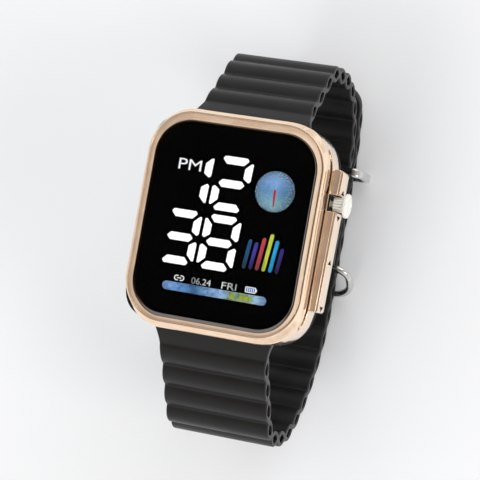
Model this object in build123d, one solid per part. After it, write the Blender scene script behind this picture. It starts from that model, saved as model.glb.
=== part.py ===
from build123d import *
import math
import os

# Digital watch with a rose-gold bezel frame, a crown guard and a tubular wave strap closed in a loop.
# Millimetres. +Z points out of the display, +Y to 12 o'clock, +X to the crown.
# The origin is the centre of the case back's outer face.

# Lens and bezel
lens_width = 33.0
lens_height = 38.5
lens_corner = 7.0
lens_thickness = 1.0
lens_bevel = 0.22
case_thickness = 11.0
seat_clearance = 0.05
bezel_reach = 2.5
ridge_inset = 0.95
ridge_width = 0.25
ridge_rise = 0.45
bezel_lip = 0.05
step_width = 0.1
step_drop = 0.25
shoulder_drop = 3.4
slope_bulge = 0.12
rim_width = 0.18
cove_inset = 0.45
cove_drop = 0.2
frame_bottom = 1.6
frame_wall = 1.3
frame_edge_break = 0.15
ledge_width = 0.9
ledge_thickness = 1.7
adhesive_thickness = 0.1

# Crown guard rail, moulded with the frame
rail_bottom = 1.75
rail_top = 7.25
rail_upper_reach = 2.0
rail_lower_reach = 1.6
rail_upper_end = 14.2
rail_lower_end = -13.85
rail_root = 0.6
rail_end_round = 0.8
rail_edge_break = 0.28
dimple_width = 1.25
dimple_height = 0.95
dimple_depth = 0.8
dimple_level = 4.3
dimple_crown_offset = 2.5
side_dimple_upper = -3.85
side_dimple_lower = -13.0

# Case body and back
flange_bottom = 0.6
flange_corner = 8.5
body_clearance = 0.05
body_floor_wall = 1.7
bay_wall = 1.1
cavity_corner = 2.5
shelf_level = 6.6
shelf_roof = 0.5
shelf_rest = 0.9
cover_thickness = 1.0
cover_margin = 1.0
cover_clearance = 0.1
cover_corner = 3.0
gasket_width = 0.7
gasket_thickness = 0.3
boss_radius = 1.45
boss_inset = 1.35
boss_top = 5.2
screw_radius = 0.6
screw_length = 3.6
screw_head_radius = 1.1
screw_head_height = 0.5
screw_slot_width = 0.3
screw_slot_depth = 0.25
screw_fit = 0.05
cut_overrun = 1.0

# Display windows, in the plane under the lens
mask_thickness = 0.2
mask_margin = 0.1
window_gap = 0.03
digit_width = 7.42
digit_height = 10.8
segment_width = 1.52
segment_round = 0.2
bar_segment_inset = 1.05
bar_segment_tip = 0.55
bar_segment_cut = 0.4
bar_segment_bevel = 0.9
middle_segment_bevel = 0.7
upright_inset = 0.98
upright_gap = 0.64
upright_cut = 0.4
upright_outer_bevel = 1.1
upright_inner_bevel = 0.75
upright_foot = 0.36
digit_slant = 2.0
column_left = -8.5
column_right = -0.36
row_upper = 8.0
row_lower = -3.72
compass_radius = 4.0
compass_place = (8.9, 7.85)
hand_length = 3.0
hand_width_root = 0.64
hand_width_tip = 0.3
hand_turn = 4.0
hand_thickness = 0.06
bar_width = 0.74
bar_base = -7.8
bar_pitch = 1.34
bar_first = 5.25
bar_slant = 5.5
bar_tallest = 7.4
bar_height_shares = (0.77, 0.72, 0.87, 1.0, 0.85, 0.66)
pill_length = 21.45
pill_height = 1.65
pill_place = (0.25, -13.52)

# Display module inside
board_thickness = 0.8
board_margin = 0.25
guide_margin = 0.1
well_wall = 0.6
well_roof = 0.25
led_length = 1.6
led_width = 0.8
led_height = 0.5
chip_side = 5.0
chip_height = 0.7
chip_place = (-9.0, 11.0)
quartz_radius = 0.75
quartz_length = 5.0
quartz_round = 0.25
quartz_place = (-1.5, 12.4)
cell_radius = 10.0
cell_thickness = 2.5
cell_place = (-4.2, -1.5)
cell_can_step = 0.5
cell_can_rise = 0.3
holder_margin = 0.25
holder_gap = 0.2
holder_top = 4.6
contact_thickness = 0.2
contact_width = 2.4
contact_reach = 5.0
switch_length = 2.6
switch_width = 3.4
switch_height = 3.0
plunger_radius = 0.6
plunger_length = 0.8
plunger_fit = 0.05
plunger_seat = 0.2

# Crown, on an axis along X through the guard rail's notch
crown_y = 7.6
crown_z = 4.6
notch_half = 1.65
stem_radius = 0.6
stem_fit = 0.05
stem_inner_end = 13.2
tube_radius = 1.5
tube_flange_radius = 2.0
tube_flange_thickness = 0.65
tube_bore_depth = 0.8
tube_counterbore_radius = 1.15
tube_end_recess = 0.1
boss_reach = 0.05
collar_radius = 1.05
collar_width = 0.3
collar_place = 17.6
o_ring_wire = 0.22
clip_thickness = 0.3
clip_radius = 1.25
clip_gap = 0.06
clip_fit = 0.02
clip_groove_share = 0.75
clip_mouth_share = 0.9
spring_wire = 0.14
knob_start = 19.6
drum_radius = 1.5
drum_length = 2.15
cap_radius = 2.4
cap_thickness = 0.95
cap_round = 0.35
cap_dish_radius = 1.7
cap_dish_depth = 0.15
knurl_count = 10
knurl_radius = 0.26
socket_depth = 1.6
boss_clearance = 0.05

# Strap: thickness, waves and hollows
strap_width = 22.0
root_flare = 1.8
root_length = 9.0
root_swell = 0.225
flare_place_share = 0.667
flare_width_share = 0.25
crest_half = 1.7
valley_half = 0.9
wave_pitch = 5.5
first_crest = 7.9
hollow_length = 3.3
hollow_height = 1.8
root_barrel = 2.0
bay_clearance = 0.2
tail_corner = 5.0
slot_width = 2.5
slot_length = 4.0
slot_first = 11
slot_count = 7
slot_used = 2
slot_slack = 0.22

# Strap: route of each half in the YZ plane, as arcs and straight runs
lug_inset = 2.25
lug_z = 3.9
upper_reach = 36.4
upper_heading = 12.0
upper_slope = 48.0
upper_root_bend = 8.0
upper_side_bend = 13.0
upper_back_bend = 16.5
lower_reach = 40.6
lower_heading = 0.0
lower_slope = 41.0
lower_root_bend = 9.0
lower_side_bend = 10.0
lower_turn_bend = 14.0
lower_turn_angle = 30.0
lower_back_bend = 33.0
back_level = -44.1
layer_gap = 0.8
tail_bend = 30.0
tail_bend_start = 19.0
tail_bend_angle = 38.0

# Spring bars in the lugs
bar_tube_radius = 0.75
bar_tube_wall = 0.2
bar_tube_inset = 0.4
bar_bore_fit = 0.05
tip_shoulder_fit = 0.05
tip_pin_radius = 0.45
tip_pin_reach = 1.3
tip_shoulder_length = 2.6
lug_hole_fit = 0.08
lug_hole_spare = 0.2
tip_spring_wall = 0.14
tip_spring_fit = 0.05

# Clasp
buckle_side_gap = 4.3
keeper_side_gap = 3.6
ring_wire = 0.8
ring_pin_corner = 3.0
ring_bar_corner = 4.2
ring_drop_gap = 0.15
ring_run = 5.3
pin_radius = 0.6
pin_fit = 0.05
pin_socket_depth = 0.6
pin_barrel = 1.7
tang_width = 2.0
tang_thickness = 1.0
tang_eye = 1.15
tang_notch_gap = 0.2
tang_overhang = 0.7
tang_rest_gap = 0.02
tang_tip_round = 0.4
keeper_place = 18.4
keeper_depth = 2.0
keeper_wall = 1.3
keeper_gap = 0.3
keeper_corner = 2.6
keeper_round = 0.5

lens_half_x = lens_width / 2
lens_half_y = lens_height / 2
frame_half_x = lens_half_x + bezel_reach
frame_half_y = lens_half_y + bezel_reach
frame_corner = lens_corner + bezel_reach
lens_bottom = case_thickness - lens_thickness
mask_bottom = lens_bottom - mask_thickness
ledge_top = mask_bottom - adhesive_thickness
ledge_bottom = ledge_top - ledge_thickness
board_top = shelf_level + board_thickness
body_half_x = frame_half_x - frame_wall - body_clearance
body_half_y = frame_half_y - frame_wall - body_clearance
cavity_half_x = body_half_x - body_floor_wall
lug_y = frame_half_y - lug_inset
cavity_half_y = lug_y - root_barrel - bay_clearance - bay_wall
strap_half = strap_width / 2
root_half = strap_half + root_flare
buckle_half_width = strap_half + buckle_side_gap
keeper_half_width = strap_half + keeper_side_gap
bay_half = root_half + bay_clearance
upper_level = back_level + 2 * crest_half + layer_gap
crown_plane = Plane(origin=(0, crown_y, crown_z), x_dir=(0, 1, 0), z_dir=(1, 0, 0))


def rounded_block(half_x, half_y, radius, low, high):
    outline = RectangleRounded(2 * half_x, 2 * half_y, radius)
    return extrude(Plane.XY.offset(low) * outline, amount=high - low)


def block(low, high):
    size = [b - a for a, b in zip(low, high)]
    middle = [(a + b) / 2 for a, b in zip(low, high)]
    return Pos(*middle) * Box(*size)


def x_rod(radius, start, end, y, z):
    rod = Cylinder(radius, end - start)
    return Pos((start + end) / 2, y, z) * Rot(0, 90, 0) * rod


def crown_rod(radius, start, end):
    return x_rod(radius, start, end, crown_y, crown_z)


def lug_holes(side):
    hole_end = bay_half + tip_pin_reach + lug_hole_spare
    return x_rod(tip_pin_radius + lug_hole_fit, -hole_end, hole_end, side * lug_y, lug_z)


# Bezel frame
def rounded_path(half_x, half_y, radius):
    turn = radius * math.sqrt(0.5)
    corners = []
    for side_x, side_y in ((1, 1), (-1, 1), (-1, -1), (1, -1)):
        centre = (side_x * (half_x - radius), side_y * (half_y - radius))
        corners.append((centre, side_x, side_y))
    edges = []
    here = (half_x, 0)
    for centre, side_x, side_y in corners:
        on_side = (centre[0] + side_x * radius, centre[1])
        on_end = (centre[0], centre[1] + side_y * radius)
        start, stop = (on_side, on_end) if side_x * side_y > 0 else (on_end, on_side)
        middle = (centre[0] + side_x * turn, centre[1] + side_y * turn)
        edges.append(Line(here, start))
        edges.append(ThreePointArc(start, middle, stop))
        here = stop
    edges.append(Line(here, (half_x, 0)))
    return Wire([edge.edge() for edge in edges])


def bezel_profile():
    edge = lens_half_x
    wall_inside = edge + bezel_reach - frame_wall
    ridge = edge + ridge_inset
    ridge_end = ridge + ridge_width
    top = case_thickness + ridge_rise
    lip = edge + seat_clearance
    step = (ridge_end + step_width, top - step_drop)
    shoulder = case_thickness - shoulder_drop
    wall_top = (edge + bezel_reach, shoulder)
    cove = (edge + bezel_reach - cove_inset, shoulder - cove_drop)
    points = [
        step,
        (ridge_end, top),
        (ridge, top),
        (lip, case_thickness - bezel_lip),
        (lip, ledge_top),
        (edge - ledge_width, ledge_top),
        (edge - ledge_width, ledge_bottom),
        (wall_inside, ledge_bottom),
        (wall_inside, frame_bottom),
        (edge + bezel_reach - frame_edge_break, frame_bottom),
        (edge + bezel_reach, frame_bottom + frame_edge_break),
        wall_top,
        (edge + bezel_reach - rim_width, shoulder),
        cove,
    ]
    lines = [Line(a, b).edge() for a, b in zip(points, points[1:])]
    slope = SagittaArc(cove, step, -slope_bulge).edge()
    return Plane.XZ * make_face(lines + [slope])


def guard_rail():
    inner = frame_half_x - rail_root
    upper_x = frame_half_x + rail_upper_reach
    lower_x = frame_half_x + rail_lower_reach
    outline = Polyline(
        (inner, rail_lower_end),
        (lower_x, rail_lower_end),
        (upper_x, rail_upper_end),
        (inner, rail_upper_end),
        close=True,
    )
    rail = extrude(Plane.XY.offset(rail_bottom) * make_face(outline), amount=rail_top - rail_bottom)
    upright = rail.edges().filter_by(Axis.Z).group_by(Axis.X)
    rail = fillet(upright[-1] + upright[-2], rail_end_round)
    notch = block(
        (frame_half_x, crown_y - notch_half, rail_bottom - cut_overrun),
        (upper_x + cut_overrun, crown_y + notch_half, rail_top + cut_overrun),
    )
    return rail - notch


def broken_rail():
    rail = guard_rail()
    outer = [e for e in rail.edges() if e.center().X > frame_half_x + rail_root]
    flat = [e for e in outer if abs(e.center().Z - rail_top) < rail_edge_break / 2]
    low = [e for e in outer if abs(e.center().Z - rail_bottom) < rail_edge_break / 2]
    long_edges = [e for e in flat + low if e.length > rail_end_round]
    return chamfer(long_edges, rail_edge_break)


def dimple(place, pointing):
    half = dimple_width / 2
    tip = pointing * dimple_height / 2
    mark = make_face(Polyline((-half, -tip), (half, -tip), (0, tip), close=True))
    reach = rail_lower_reach + (rail_upper_reach - rail_lower_reach) * (place - rail_lower_end) / (
        rail_upper_end - rail_lower_end
    )
    start = frame_half_x + reach - dimple_depth
    plane = Plane(origin=(start, place, dimple_level), x_dir=(0, 0, 1), z_dir=(1, 0, 0))
    return extrude(plane * mark, amount=dimple_depth + cut_overrun)


def make_bezel_frame():
    path = rounded_path(lens_half_x, lens_half_y, lens_corner)
    frame = sweep(bezel_profile(), path=path)
    frame += broken_rail()
    marks = (
        (crown_y + dimple_crown_offset, -1),
        (crown_y - dimple_crown_offset, 1),
        (side_dimple_upper, -1),
        (side_dimple_lower, 1),
    )
    for place, pointing in marks:
        frame -= dimple(place, pointing)
    far = frame_half_y + cut_overrun
    for side in (-1, 1):
        low_y, high_y = sorted((side * lug_y, side * far))
        frame -= block(
            (-bay_half, low_y, frame_bottom - cut_overrun),
            (bay_half, high_y, shelf_level - shelf_roof),
        )
        frame -= lug_holes(side)
    window_half = notch_half - window_gap
    frame -= block(
        (body_half_x - frame_wall, crown_y - window_half, frame_bottom + body_clearance),
        (frame_half_x + cut_overrun, crown_y + window_half, rail_top),
    )
    return frame


# Case body and back
def cover_half_y():
    return cavity_half_y + cover_margin - cover_clearance


def screw_places():
    x = cavity_half_x - boss_inset
    y = cavity_half_y - boss_inset
    return [(side_x * x, side_y * y) for side_x in (-1, 1) for side_y in (-1, 1)]


def strap_bay(side):
    radius = root_barrel + bay_clearance
    bay = x_rod(radius, -bay_half, bay_half, side * lug_y, lug_z)
    low_y, high_y = sorted((side * lug_y, side * (frame_half_y + cut_overrun)))
    top = shelf_level - shelf_roof
    bay += block((-bay_half, low_y, flange_bottom - cut_overrun), (bay_half, high_y, top))
    return bay


def screw_bosses(low, high):
    bosses = Part()
    for x, y in screw_places():
        side_x, side_y = math.copysign(cavity_half_x, x), math.copysign(cavity_half_y, y)
        near = (min(x, side_x), min(y, side_y), low)
        far = (max(x, side_x), max(y, side_y), high)
        bosses += Pos(x, y, (low + high) / 2) * Cylinder(boss_radius, high - low)
        bosses += block(near, far)
    return bosses


def body_shell():
    wall_corner = frame_corner - frame_wall - body_clearance
    shell = rounded_block(frame_half_x, frame_half_y, flange_corner, flange_bottom, frame_bottom)
    shell += rounded_block(body_half_x, body_half_y, wall_corner, frame_bottom, ledge_bottom)
    upper_x = body_half_x - shelf_rest
    upper_y = body_half_y - shelf_rest
    high = ledge_bottom + cut_overrun
    shell -= rounded_block(upper_x, upper_y, wall_corner - shelf_rest, shelf_level, high)
    low = flange_bottom - cut_overrun
    return shell - rounded_block(cavity_half_x, cavity_half_y, cavity_corner, low, shelf_level)


def crown_boss():
    window_half = notch_half - window_gap - boss_clearance
    low = frame_bottom + body_clearance + boss_clearance
    return block(
        (body_half_x - shelf_rest / 2, crown_y - window_half, low),
        (frame_half_x + boss_reach, crown_y + window_half, rail_top - boss_clearance),
    )


def make_case_body():
    rebate_x = cavity_half_x + cover_margin
    rebate_y = cavity_half_y + cover_margin
    rebate_top = cover_thickness + gasket_thickness
    low = flange_bottom - cut_overrun
    body = body_shell() + screw_bosses(rebate_top, boss_top)
    body -= rounded_block(rebate_x, rebate_y, cover_corner + cover_clearance, low, rebate_top)
    hole_depth = cover_thickness + screw_length - rebate_top
    for x, y in screw_places():
        body -= Pos(x, y, rebate_top + hole_depth / 2) * Cylinder(screw_radius + screw_fit, hole_depth)
    for side in (-1, 1):
        body -= strap_bay(side)
        body -= lug_holes(side)
    body += crown_boss()
    bore_start = cavity_half_x - cut_overrun
    bore_end = frame_half_x + boss_reach + cut_overrun
    return body - crown_rod(tube_radius + body_clearance, bore_start, bore_end)


def make_back_cover():
    half_x = cavity_half_x + cover_margin - cover_clearance
    cover = rounded_block(half_x, cover_half_y(), cover_corner, 0, cover_thickness)
    cover = chamfer(cover.edges().group_by(Axis.Z)[0], cover_clearance)
    for x, y in screw_places():
        cover -= Pos(x, y, cover_thickness / 2) * Cylinder(screw_radius + screw_fit, cover_thickness)
        head_room = screw_head_height + screw_fit
        cover -= Pos(x, y, head_room / 2) * Cylinder(screw_head_radius + screw_fit, head_room)
    return cover


def make_back_gasket():
    outer_x = cavity_half_x + cover_margin - cover_clearance
    top = cover_thickness + gasket_thickness
    ring = rounded_block(outer_x, cover_half_y(), cover_corner, cover_thickness, top)
    inner_x = outer_x - gasket_width
    inner_y = cover_half_y() - gasket_width
    inner_corner = cover_corner - gasket_width
    low = cover_thickness - cut_overrun
    high = cover_thickness + cut_overrun
    return ring - rounded_block(inner_x, inner_y, inner_corner, low, high)


def make_back_screws():
    screws = []
    for x, y in screw_places():
        head = Pos(x, y, screw_head_height / 2) * Cylinder(screw_head_radius, screw_head_height)
        shank_top = cover_thickness + screw_length - screw_fit
        shank = Pos(x, y, shank_top / 2) * Cylinder(screw_radius, shank_top)
        screw = head + shank
        slot = Box(screw_slot_width, 2 * screw_head_radius, 2 * screw_slot_depth)
        screws.append(screw - Pos(x, y, 0) * slot)
    return Compound(children=screws)


# Lens, mask and windows
def make_lens():
    half_x = lens_half_x - seat_clearance
    half_y = lens_half_y - seat_clearance
    lens = rounded_block(half_x, half_y, lens_corner - seat_clearance, lens_bottom, case_thickness)
    return chamfer(lens.edges().group_by(Axis.Z)[-1], lens_bevel)


def make_lens_adhesive():
    half_x = lens_half_x - mask_margin
    half_y = lens_half_y - mask_margin
    ring = rounded_block(half_x, half_y, lens_corner - mask_margin, ledge_top, mask_bottom)
    inner_x = lens_half_x - ledge_width
    inner_y = lens_half_y - ledge_width
    low = ledge_top - cut_overrun
    return ring - rounded_block(inner_x, inner_y, lens_corner - ledge_width, low, lens_bottom)


def bar_segment(half):
    reach = digit_width / 2 - bar_segment_inset
    outer = digit_height / 2
    inner = outer - segment_width
    points = [
        (-reach, outer - bar_segment_tip),
        (bar_segment_cut - reach, outer),
        (reach - bar_segment_cut, outer),
        (reach, outer - bar_segment_tip),
        (reach - bar_segment_bevel, inner),
        (bar_segment_bevel - reach, inner),
    ]
    return [(x, half * y) for x, y in points]


def middle_segment():
    reach = digit_width / 2 - bar_segment_inset
    flat = reach - middle_segment_bevel
    half = segment_width / 2
    return [(-reach, 0), (-flat, half), (flat, half), (reach, 0), (flat, -half), (-flat, -half)]


def upright_segment(side, half):
    outer = digit_width / 2
    inner = outer - segment_width
    high = digit_height / 2 - upright_inset
    points = [
        (outer, high),
        (outer - upright_cut, high),
        (inner, high - upright_outer_bevel),
        (inner, upright_gap + upright_inner_bevel),
        (outer - upright_cut, upright_gap),
        (outer, upright_gap + upright_foot),
    ]
    return [(side * x, half * y) for x, y in points]


segment_outlines = {
    "top": bar_segment(1),
    "middle": middle_segment(),
    "bottom": bar_segment(-1),
    "upper_left": upright_segment(-1, 1),
    "upper_right": upright_segment(1, 1),
    "lower_left": upright_segment(-1, -1),
    "lower_right": upright_segment(1, -1),
}
lit_segments = {
    "one": ("upper_right", "lower_right"),
    "two": ("top", "upper_right", "middle", "lower_left", "bottom"),
    "three": ("top", "upper_right", "middle", "lower_right", "bottom"),
    "eight": ("top", "upper_left", "upper_right", "middle", "lower_left", "lower_right", "bottom"),
}


def digit_faces(name, x, y, grow):
    lean = math.tan(math.radians(digit_slant))
    faces = []
    for segment in lit_segments[name]:
        points = [(x + a + lean * (y + b), y + b) for a, b in segment_outlines[segment]]
        face = make_face(Polyline(*points, close=True))
        face = fillet(face.vertices(), segment_round)
        if grow:
            face = offset(face, grow)
        faces.append(face)
    return faces


def all_digit_faces(grow):
    places = (
        ("one", column_left, row_upper),
        ("two", column_right, row_upper),
        ("three", column_left, row_lower),
        ("eight", column_right, row_lower),
    )
    faces = []
    for name, x, y in places:
        faces += digit_faces(name, x, y, grow)
    return faces


def bar_faces(grow):
    faces = []
    for index, share in enumerate(bar_height_shares):
        length = bar_tallest * share
        middle = bar_base + length / 2
        lean = math.tan(math.radians(bar_slant)) * length / 2
        x = bar_first + index * bar_pitch + lean
        bar = SlotOverall(length + 2 * grow, bar_width + 2 * grow)
        faces.append(Pos(x, middle) * Rot(0, 0, 90 - bar_slant) * bar)
    return faces


def pill_face(grow):
    return Pos(*pill_place) * SlotOverall(pill_length + 2 * grow, pill_height + 2 * grow)


def raised(faces, low, high):
    return [extrude(Plane.XY.offset(low) * face, amount=high - low) for face in faces]


def make_display_mask():
    half_x = lens_half_x - mask_margin
    half_y = lens_half_y - mask_margin
    mask = rounded_block(half_x, half_y, lens_corner - mask_margin, mask_bottom, lens_bottom)
    windows = all_digit_faces(window_gap) + bar_faces(window_gap) + [pill_face(window_gap)]
    windows.append(Pos(*compass_place) * Circle(compass_radius + window_gap))
    low = mask_bottom - cut_overrun
    high = lens_bottom + cut_overrun
    return mask - raised(windows, low, high)


def make_digit_segments():
    return Compound(children=raised(all_digit_faces(0), mask_bottom, lens_bottom))


def make_colour_bars():
    return Compound(children=raised(bar_faces(0), mask_bottom, lens_bottom))


def make_gradient_bar():
    return raised([pill_face(0)], mask_bottom, lens_bottom)[0]


def make_compass_disc():
    disc = Pos(*compass_place) * Circle(compass_radius)
    return raised([disc], mask_bottom, lens_bottom - hand_thickness - window_gap)[0]


def make_compass_hand():
    root = hand_width_root / 2
    tip = hand_width_tip / 2
    outline = Polyline((-root, root), (root, root), (tip, -hand_length), (-tip, -hand_length), close=True)
    shape = make_face(outline)
    shape = fillet(shape.vertices(), tip)
    hand = Pos(*compass_place) * Rot(0, 0, hand_turn) * shape
    low = lens_bottom - hand_thickness - window_gap
    return raised([hand], low, lens_bottom - window_gap)[0]


# Display module
def well_boxes():
    boxes = []
    for x in (column_left, column_right):
        for y in (row_upper, row_lower):
            boxes.append((x, y, digit_width / 2 + well_wall, digit_height / 2 + well_wall / 2))
    boxes.append((*compass_place, compass_radius, compass_radius))
    bars_middle = bar_first + bar_pitch * (len(bar_height_shares) - 1) / 2 + bar_width / 2
    boxes.append((bars_middle, bar_base + bar_tallest / 2, compass_radius, bar_tallest / 2))
    boxes.append((*pill_place, pill_length / 2, pill_height / 2))
    return boxes


def make_light_guide():
    half_x = lens_half_x - ledge_width - guide_margin
    half_y = lens_half_y - ledge_width - guide_margin
    corner = lens_corner - ledge_width - guide_margin
    guide = rounded_block(half_x, half_y, corner, board_top, mask_bottom)
    top = mask_bottom - well_roof
    for x, y, well_x, well_y in well_boxes():
        guide -= block((x - well_x, y - well_y, board_top - cut_overrun), (x + well_x, y + well_y, top))
    return guide


def make_main_board():
    half_x = body_half_x - shelf_rest - board_margin
    half_y = body_half_y - shelf_rest - board_margin
    corner = frame_corner - frame_wall - shelf_rest - board_margin
    return rounded_block(half_x, half_y, corner, shelf_level, board_top)


def make_led_chips():
    chips = []
    for x, y, well_x, well_y in well_boxes():
        rows = max(1, round(well_y / well_x))
        for row in range(-rows, rows + 1, 2):
            for column in (-1, 1):
                place_y = y + row * well_y / (2 * rows + 1)
                place_x = x + column * well_x / 2
                chip = Box(led_length, led_width, led_height)
                chips.append(Pos(place_x, place_y, board_top + led_height / 2) * chip)
    return Compound(children=chips)


def make_controller_chip():
    return Pos(*chip_place, shelf_level - chip_height / 2) * Box(chip_side, chip_side, chip_height)


def make_quartz_crystal():
    x, y = quartz_place
    level = shelf_level - quartz_radius
    can = x_rod(quartz_radius, x - quartz_length / 2, x + quartz_length / 2, y, level)
    return fillet(can.edges().group_by(Axis.X)[-1], quartz_round)


def cell_bottom():
    return cover_thickness + gasket_thickness


def make_coin_cell():
    x, y = cell_place
    low = cell_bottom()
    wide = cell_thickness - cell_can_rise
    can = Pos(x, y, low + wide / 2) * Cylinder(cell_radius, wide)
    cap = Pos(x, y, low + cell_thickness / 2) * Cylinder(cell_radius - 2 * cell_can_step, cell_thickness)
    rim = can.edges().filter_by(GeomType.CIRCLE).group_by(Axis.Z)[0]
    return fillet(rim, cell_can_step) + cap


def make_movement_holder():
    half_x = cavity_half_x - holder_margin
    half_y = cavity_half_y - holder_margin
    low = cell_bottom()
    holder = rounded_block(half_x, half_y, cavity_corner, low, holder_top)
    x, y = cell_place
    well = Cylinder(cell_radius + holder_gap, 2 * cut_overrun + holder_top)
    holder -= Pos(x, y, holder_top / 2) * well
    for boss_x, boss_y in screw_places():
        reach = boss_radius + holder_gap
        holder -= block(
            (min(boss_x - reach, boss_x + reach), boss_y - reach, low - cut_overrun),
            (boss_x + reach, boss_y + reach, holder_top + cut_overrun),
        )
        out_x = math.copysign(cavity_half_x, boss_x)
        out_y = math.copysign(cavity_half_y, boss_y)
        holder -= block(
            (min(boss_x, out_x), min(boss_y, out_y), low - cut_overrun),
            (max(boss_x, out_x), max(boss_y, out_y), holder_top + cut_overrun),
        )
    strip_half = contact_width / 2 + holder_gap
    strip_reach = cell_radius + holder_gap + contact_thickness
    holder -= block((x - strip_half, y - strip_reach, low), (x + strip_half, y, holder_top + cut_overrun))
    reach = tube_flange_radius + holder_gap
    holder -= block(
        (switch_start() - holder_gap, crown_y - reach, low - cut_overrun),
        (cavity_half_x, crown_y + reach, holder_top + cut_overrun),
    )
    return holder


def make_cell_contact_top():
    x, y = cell_place
    low = cell_bottom() + cell_thickness
    side = x + contact_reach
    near, far = y - contact_width / 2, y + contact_width / 2
    foot = block((x, near, low), (side, far, low + contact_thickness))
    return foot + block((side - contact_thickness, near, low), (side, far, shelf_level))


def make_cell_contact_side():
    x, y = cell_place
    edge = y - cell_radius - holder_gap / 2
    low = cell_bottom() + cell_can_step
    half = contact_width / 2
    near, far = edge - contact_thickness / 2, edge + contact_thickness / 2
    return block((x - half, near, low), (x + half, far, shelf_level))


# Crown and switch
def switch_start():
    return stem_inner_end - plunger_length - switch_length


def make_switch_body():
    start = switch_start()
    top = shelf_level
    body = block(
        (start, crown_y - switch_width / 2, top - switch_height),
        (start + switch_length, crown_y + switch_width / 2, top),
    )
    bore_start = start + switch_length - plunger_length
    return body - crown_rod(plunger_radius + plunger_fit, bore_start, stem_inner_end)


def make_switch_plunger():
    end = stem_inner_end - plunger_fit / 2
    start = stem_inner_end - plunger_length - plunger_seat
    return crown_rod(plunger_radius, start, end)


def make_crown_tube():
    flange_end = cavity_half_x
    flange_start = flange_end - tube_flange_thickness
    end = frame_half_x - tube_end_recess
    tube = crown_rod(tube_radius, flange_start, end)
    tube += crown_rod(tube_flange_radius, flange_start, flange_end)
    tube -= crown_rod(stem_radius + stem_fit, flange_start, end)
    return tube - crown_rod(tube_counterbore_radius, flange_start + tube_bore_depth, end)


def clip_place():
    return cavity_half_x - tube_flange_thickness - clip_gap - clip_thickness


def make_crown_stem():
    stem = crown_rod(stem_radius, stem_inner_end, knob_start + socket_depth)
    groove_start = clip_place()
    groove = crown_rod(stem_radius, groove_start, groove_start + clip_thickness)
    groove -= crown_rod(stem_radius * clip_groove_share, groove_start, groove_start + clip_thickness)
    stem -= groove
    stem += crown_rod(collar_radius, collar_place, collar_place + collar_width)
    second = collar_place + collar_width + 2 * o_ring_wire + clip_gap
    stem += crown_rod(collar_radius, second, second + collar_width)
    return stem


def make_crown_o_ring():
    middle = collar_place + collar_width + o_ring_wire + clip_gap / 2
    ring = Torus(stem_radius + o_ring_wire + clip_fit, o_ring_wire)
    return Pos(middle, crown_y, crown_z) * Rot(0, 90, 0) * ring


def make_crown_clip():
    start = clip_place()
    inner = stem_radius * clip_groove_share + clip_fit
    clip = crown_rod(clip_radius, start + clip_fit, start + clip_thickness - clip_fit)
    clip -= crown_rod(inner, start, start + clip_thickness)
    mouth_half = inner * clip_mouth_share
    mouth = block(
        (start - cut_overrun, crown_y - mouth_half, crown_z - 2 * clip_radius),
        (start + cut_overrun, crown_y + mouth_half, crown_z),
    )
    return clip - mouth


def make_crown_spring():
    start = cavity_half_x - tube_flange_thickness + tube_bore_depth + clip_gap / 2
    end = collar_place - clip_gap / 2
    outer = tube_counterbore_radius - stem_fit
    sleeve = crown_rod(outer, start, end)
    return sleeve - crown_rod(outer - spring_wire, start, end)


def make_crown_knob():
    drum_end = knob_start + drum_length
    knob = crown_rod(drum_radius, knob_start, drum_end)
    for index in range(knurl_count):
        angle = 2 * math.pi * index / knurl_count
        y = crown_y + drum_radius * math.cos(angle)
        z = crown_z + drum_radius * math.sin(angle)
        knob -= x_rod(knurl_radius, knob_start - cut_overrun, drum_end, y, z)
    cap = crown_rod(cap_radius, drum_end, drum_end + cap_thickness)
    cap = fillet(cap.edges().filter_by(GeomType.CIRCLE), cap_round)
    cap_end = drum_end + cap_thickness
    cap -= crown_rod(cap_dish_radius, cap_end - cap_dish_depth, cap_end + cut_overrun)
    knob += cap
    return knob - crown_rod(stem_radius, knob_start, knob_start + socket_depth)


# Strap routes
class Route:
    """A path in the YZ plane made of straight runs and tangent arcs, with a side of +1 or -1 in Y."""

    def __init__(self, side, heading):
        self.side = side
        self.spans = []
        self.length = 0
        self.y = lug_y
        self.z = lug_z
        self.angle = heading

    def run(self, length):
        self.spans.append((self.length, length, self.y, self.z, self.angle, 0))
        turn = math.radians(self.angle)
        self.y += length * math.cos(turn)
        self.z -= length * math.sin(turn)
        self.length += length

    def bend(self, radius, turn):
        length = radius * math.radians(abs(turn))
        self.spans.append((self.length, length, self.y, self.z, self.angle, math.copysign(radius, turn)))
        old = math.radians(self.angle)
        new = math.radians(self.angle + turn)
        signed = math.copysign(radius, turn)
        self.y += signed * (math.sin(new) - math.sin(old))
        self.z -= signed * (math.cos(old) - math.cos(new))
        self.angle += turn
        self.length += length

    def point(self, distance, offset=0):
        for start, length, y, z, angle, signed in reversed(self.spans):
            if distance >= start:
                break
        along = distance - start
        old = math.radians(angle)
        if signed:
            new = old + along / signed
            y += signed * (math.sin(new) - math.sin(old))
            z -= signed * (math.cos(old) - math.cos(new))
        else:
            new = old
            y += along * math.cos(old)
            z -= along * math.sin(old)
        return (self.side * (y + offset * math.sin(new)), z + offset * math.cos(new))


def sine_step(radius, first, second):
    return radius * (math.sin(math.radians(second)) - math.sin(math.radians(first)))


def cosine_step(radius, first, second):
    return radius * (math.cos(math.radians(first)) - math.cos(math.radians(second)))


def upper_route(flat_length):
    route = Route(1, upper_heading)
    square = 90
    route.bend(upper_root_bend, upper_slope - upper_heading)
    left = upper_reach - route.y - sine_step(upper_side_bend, upper_slope, square)
    route.run(left / math.cos(math.radians(upper_slope)))
    route.bend(upper_side_bend, square - upper_slope)
    route.run(route.z - upper_back_bend - upper_level)
    route.bend(upper_back_bend, square)
    route.run(flat_length)
    return route


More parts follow.
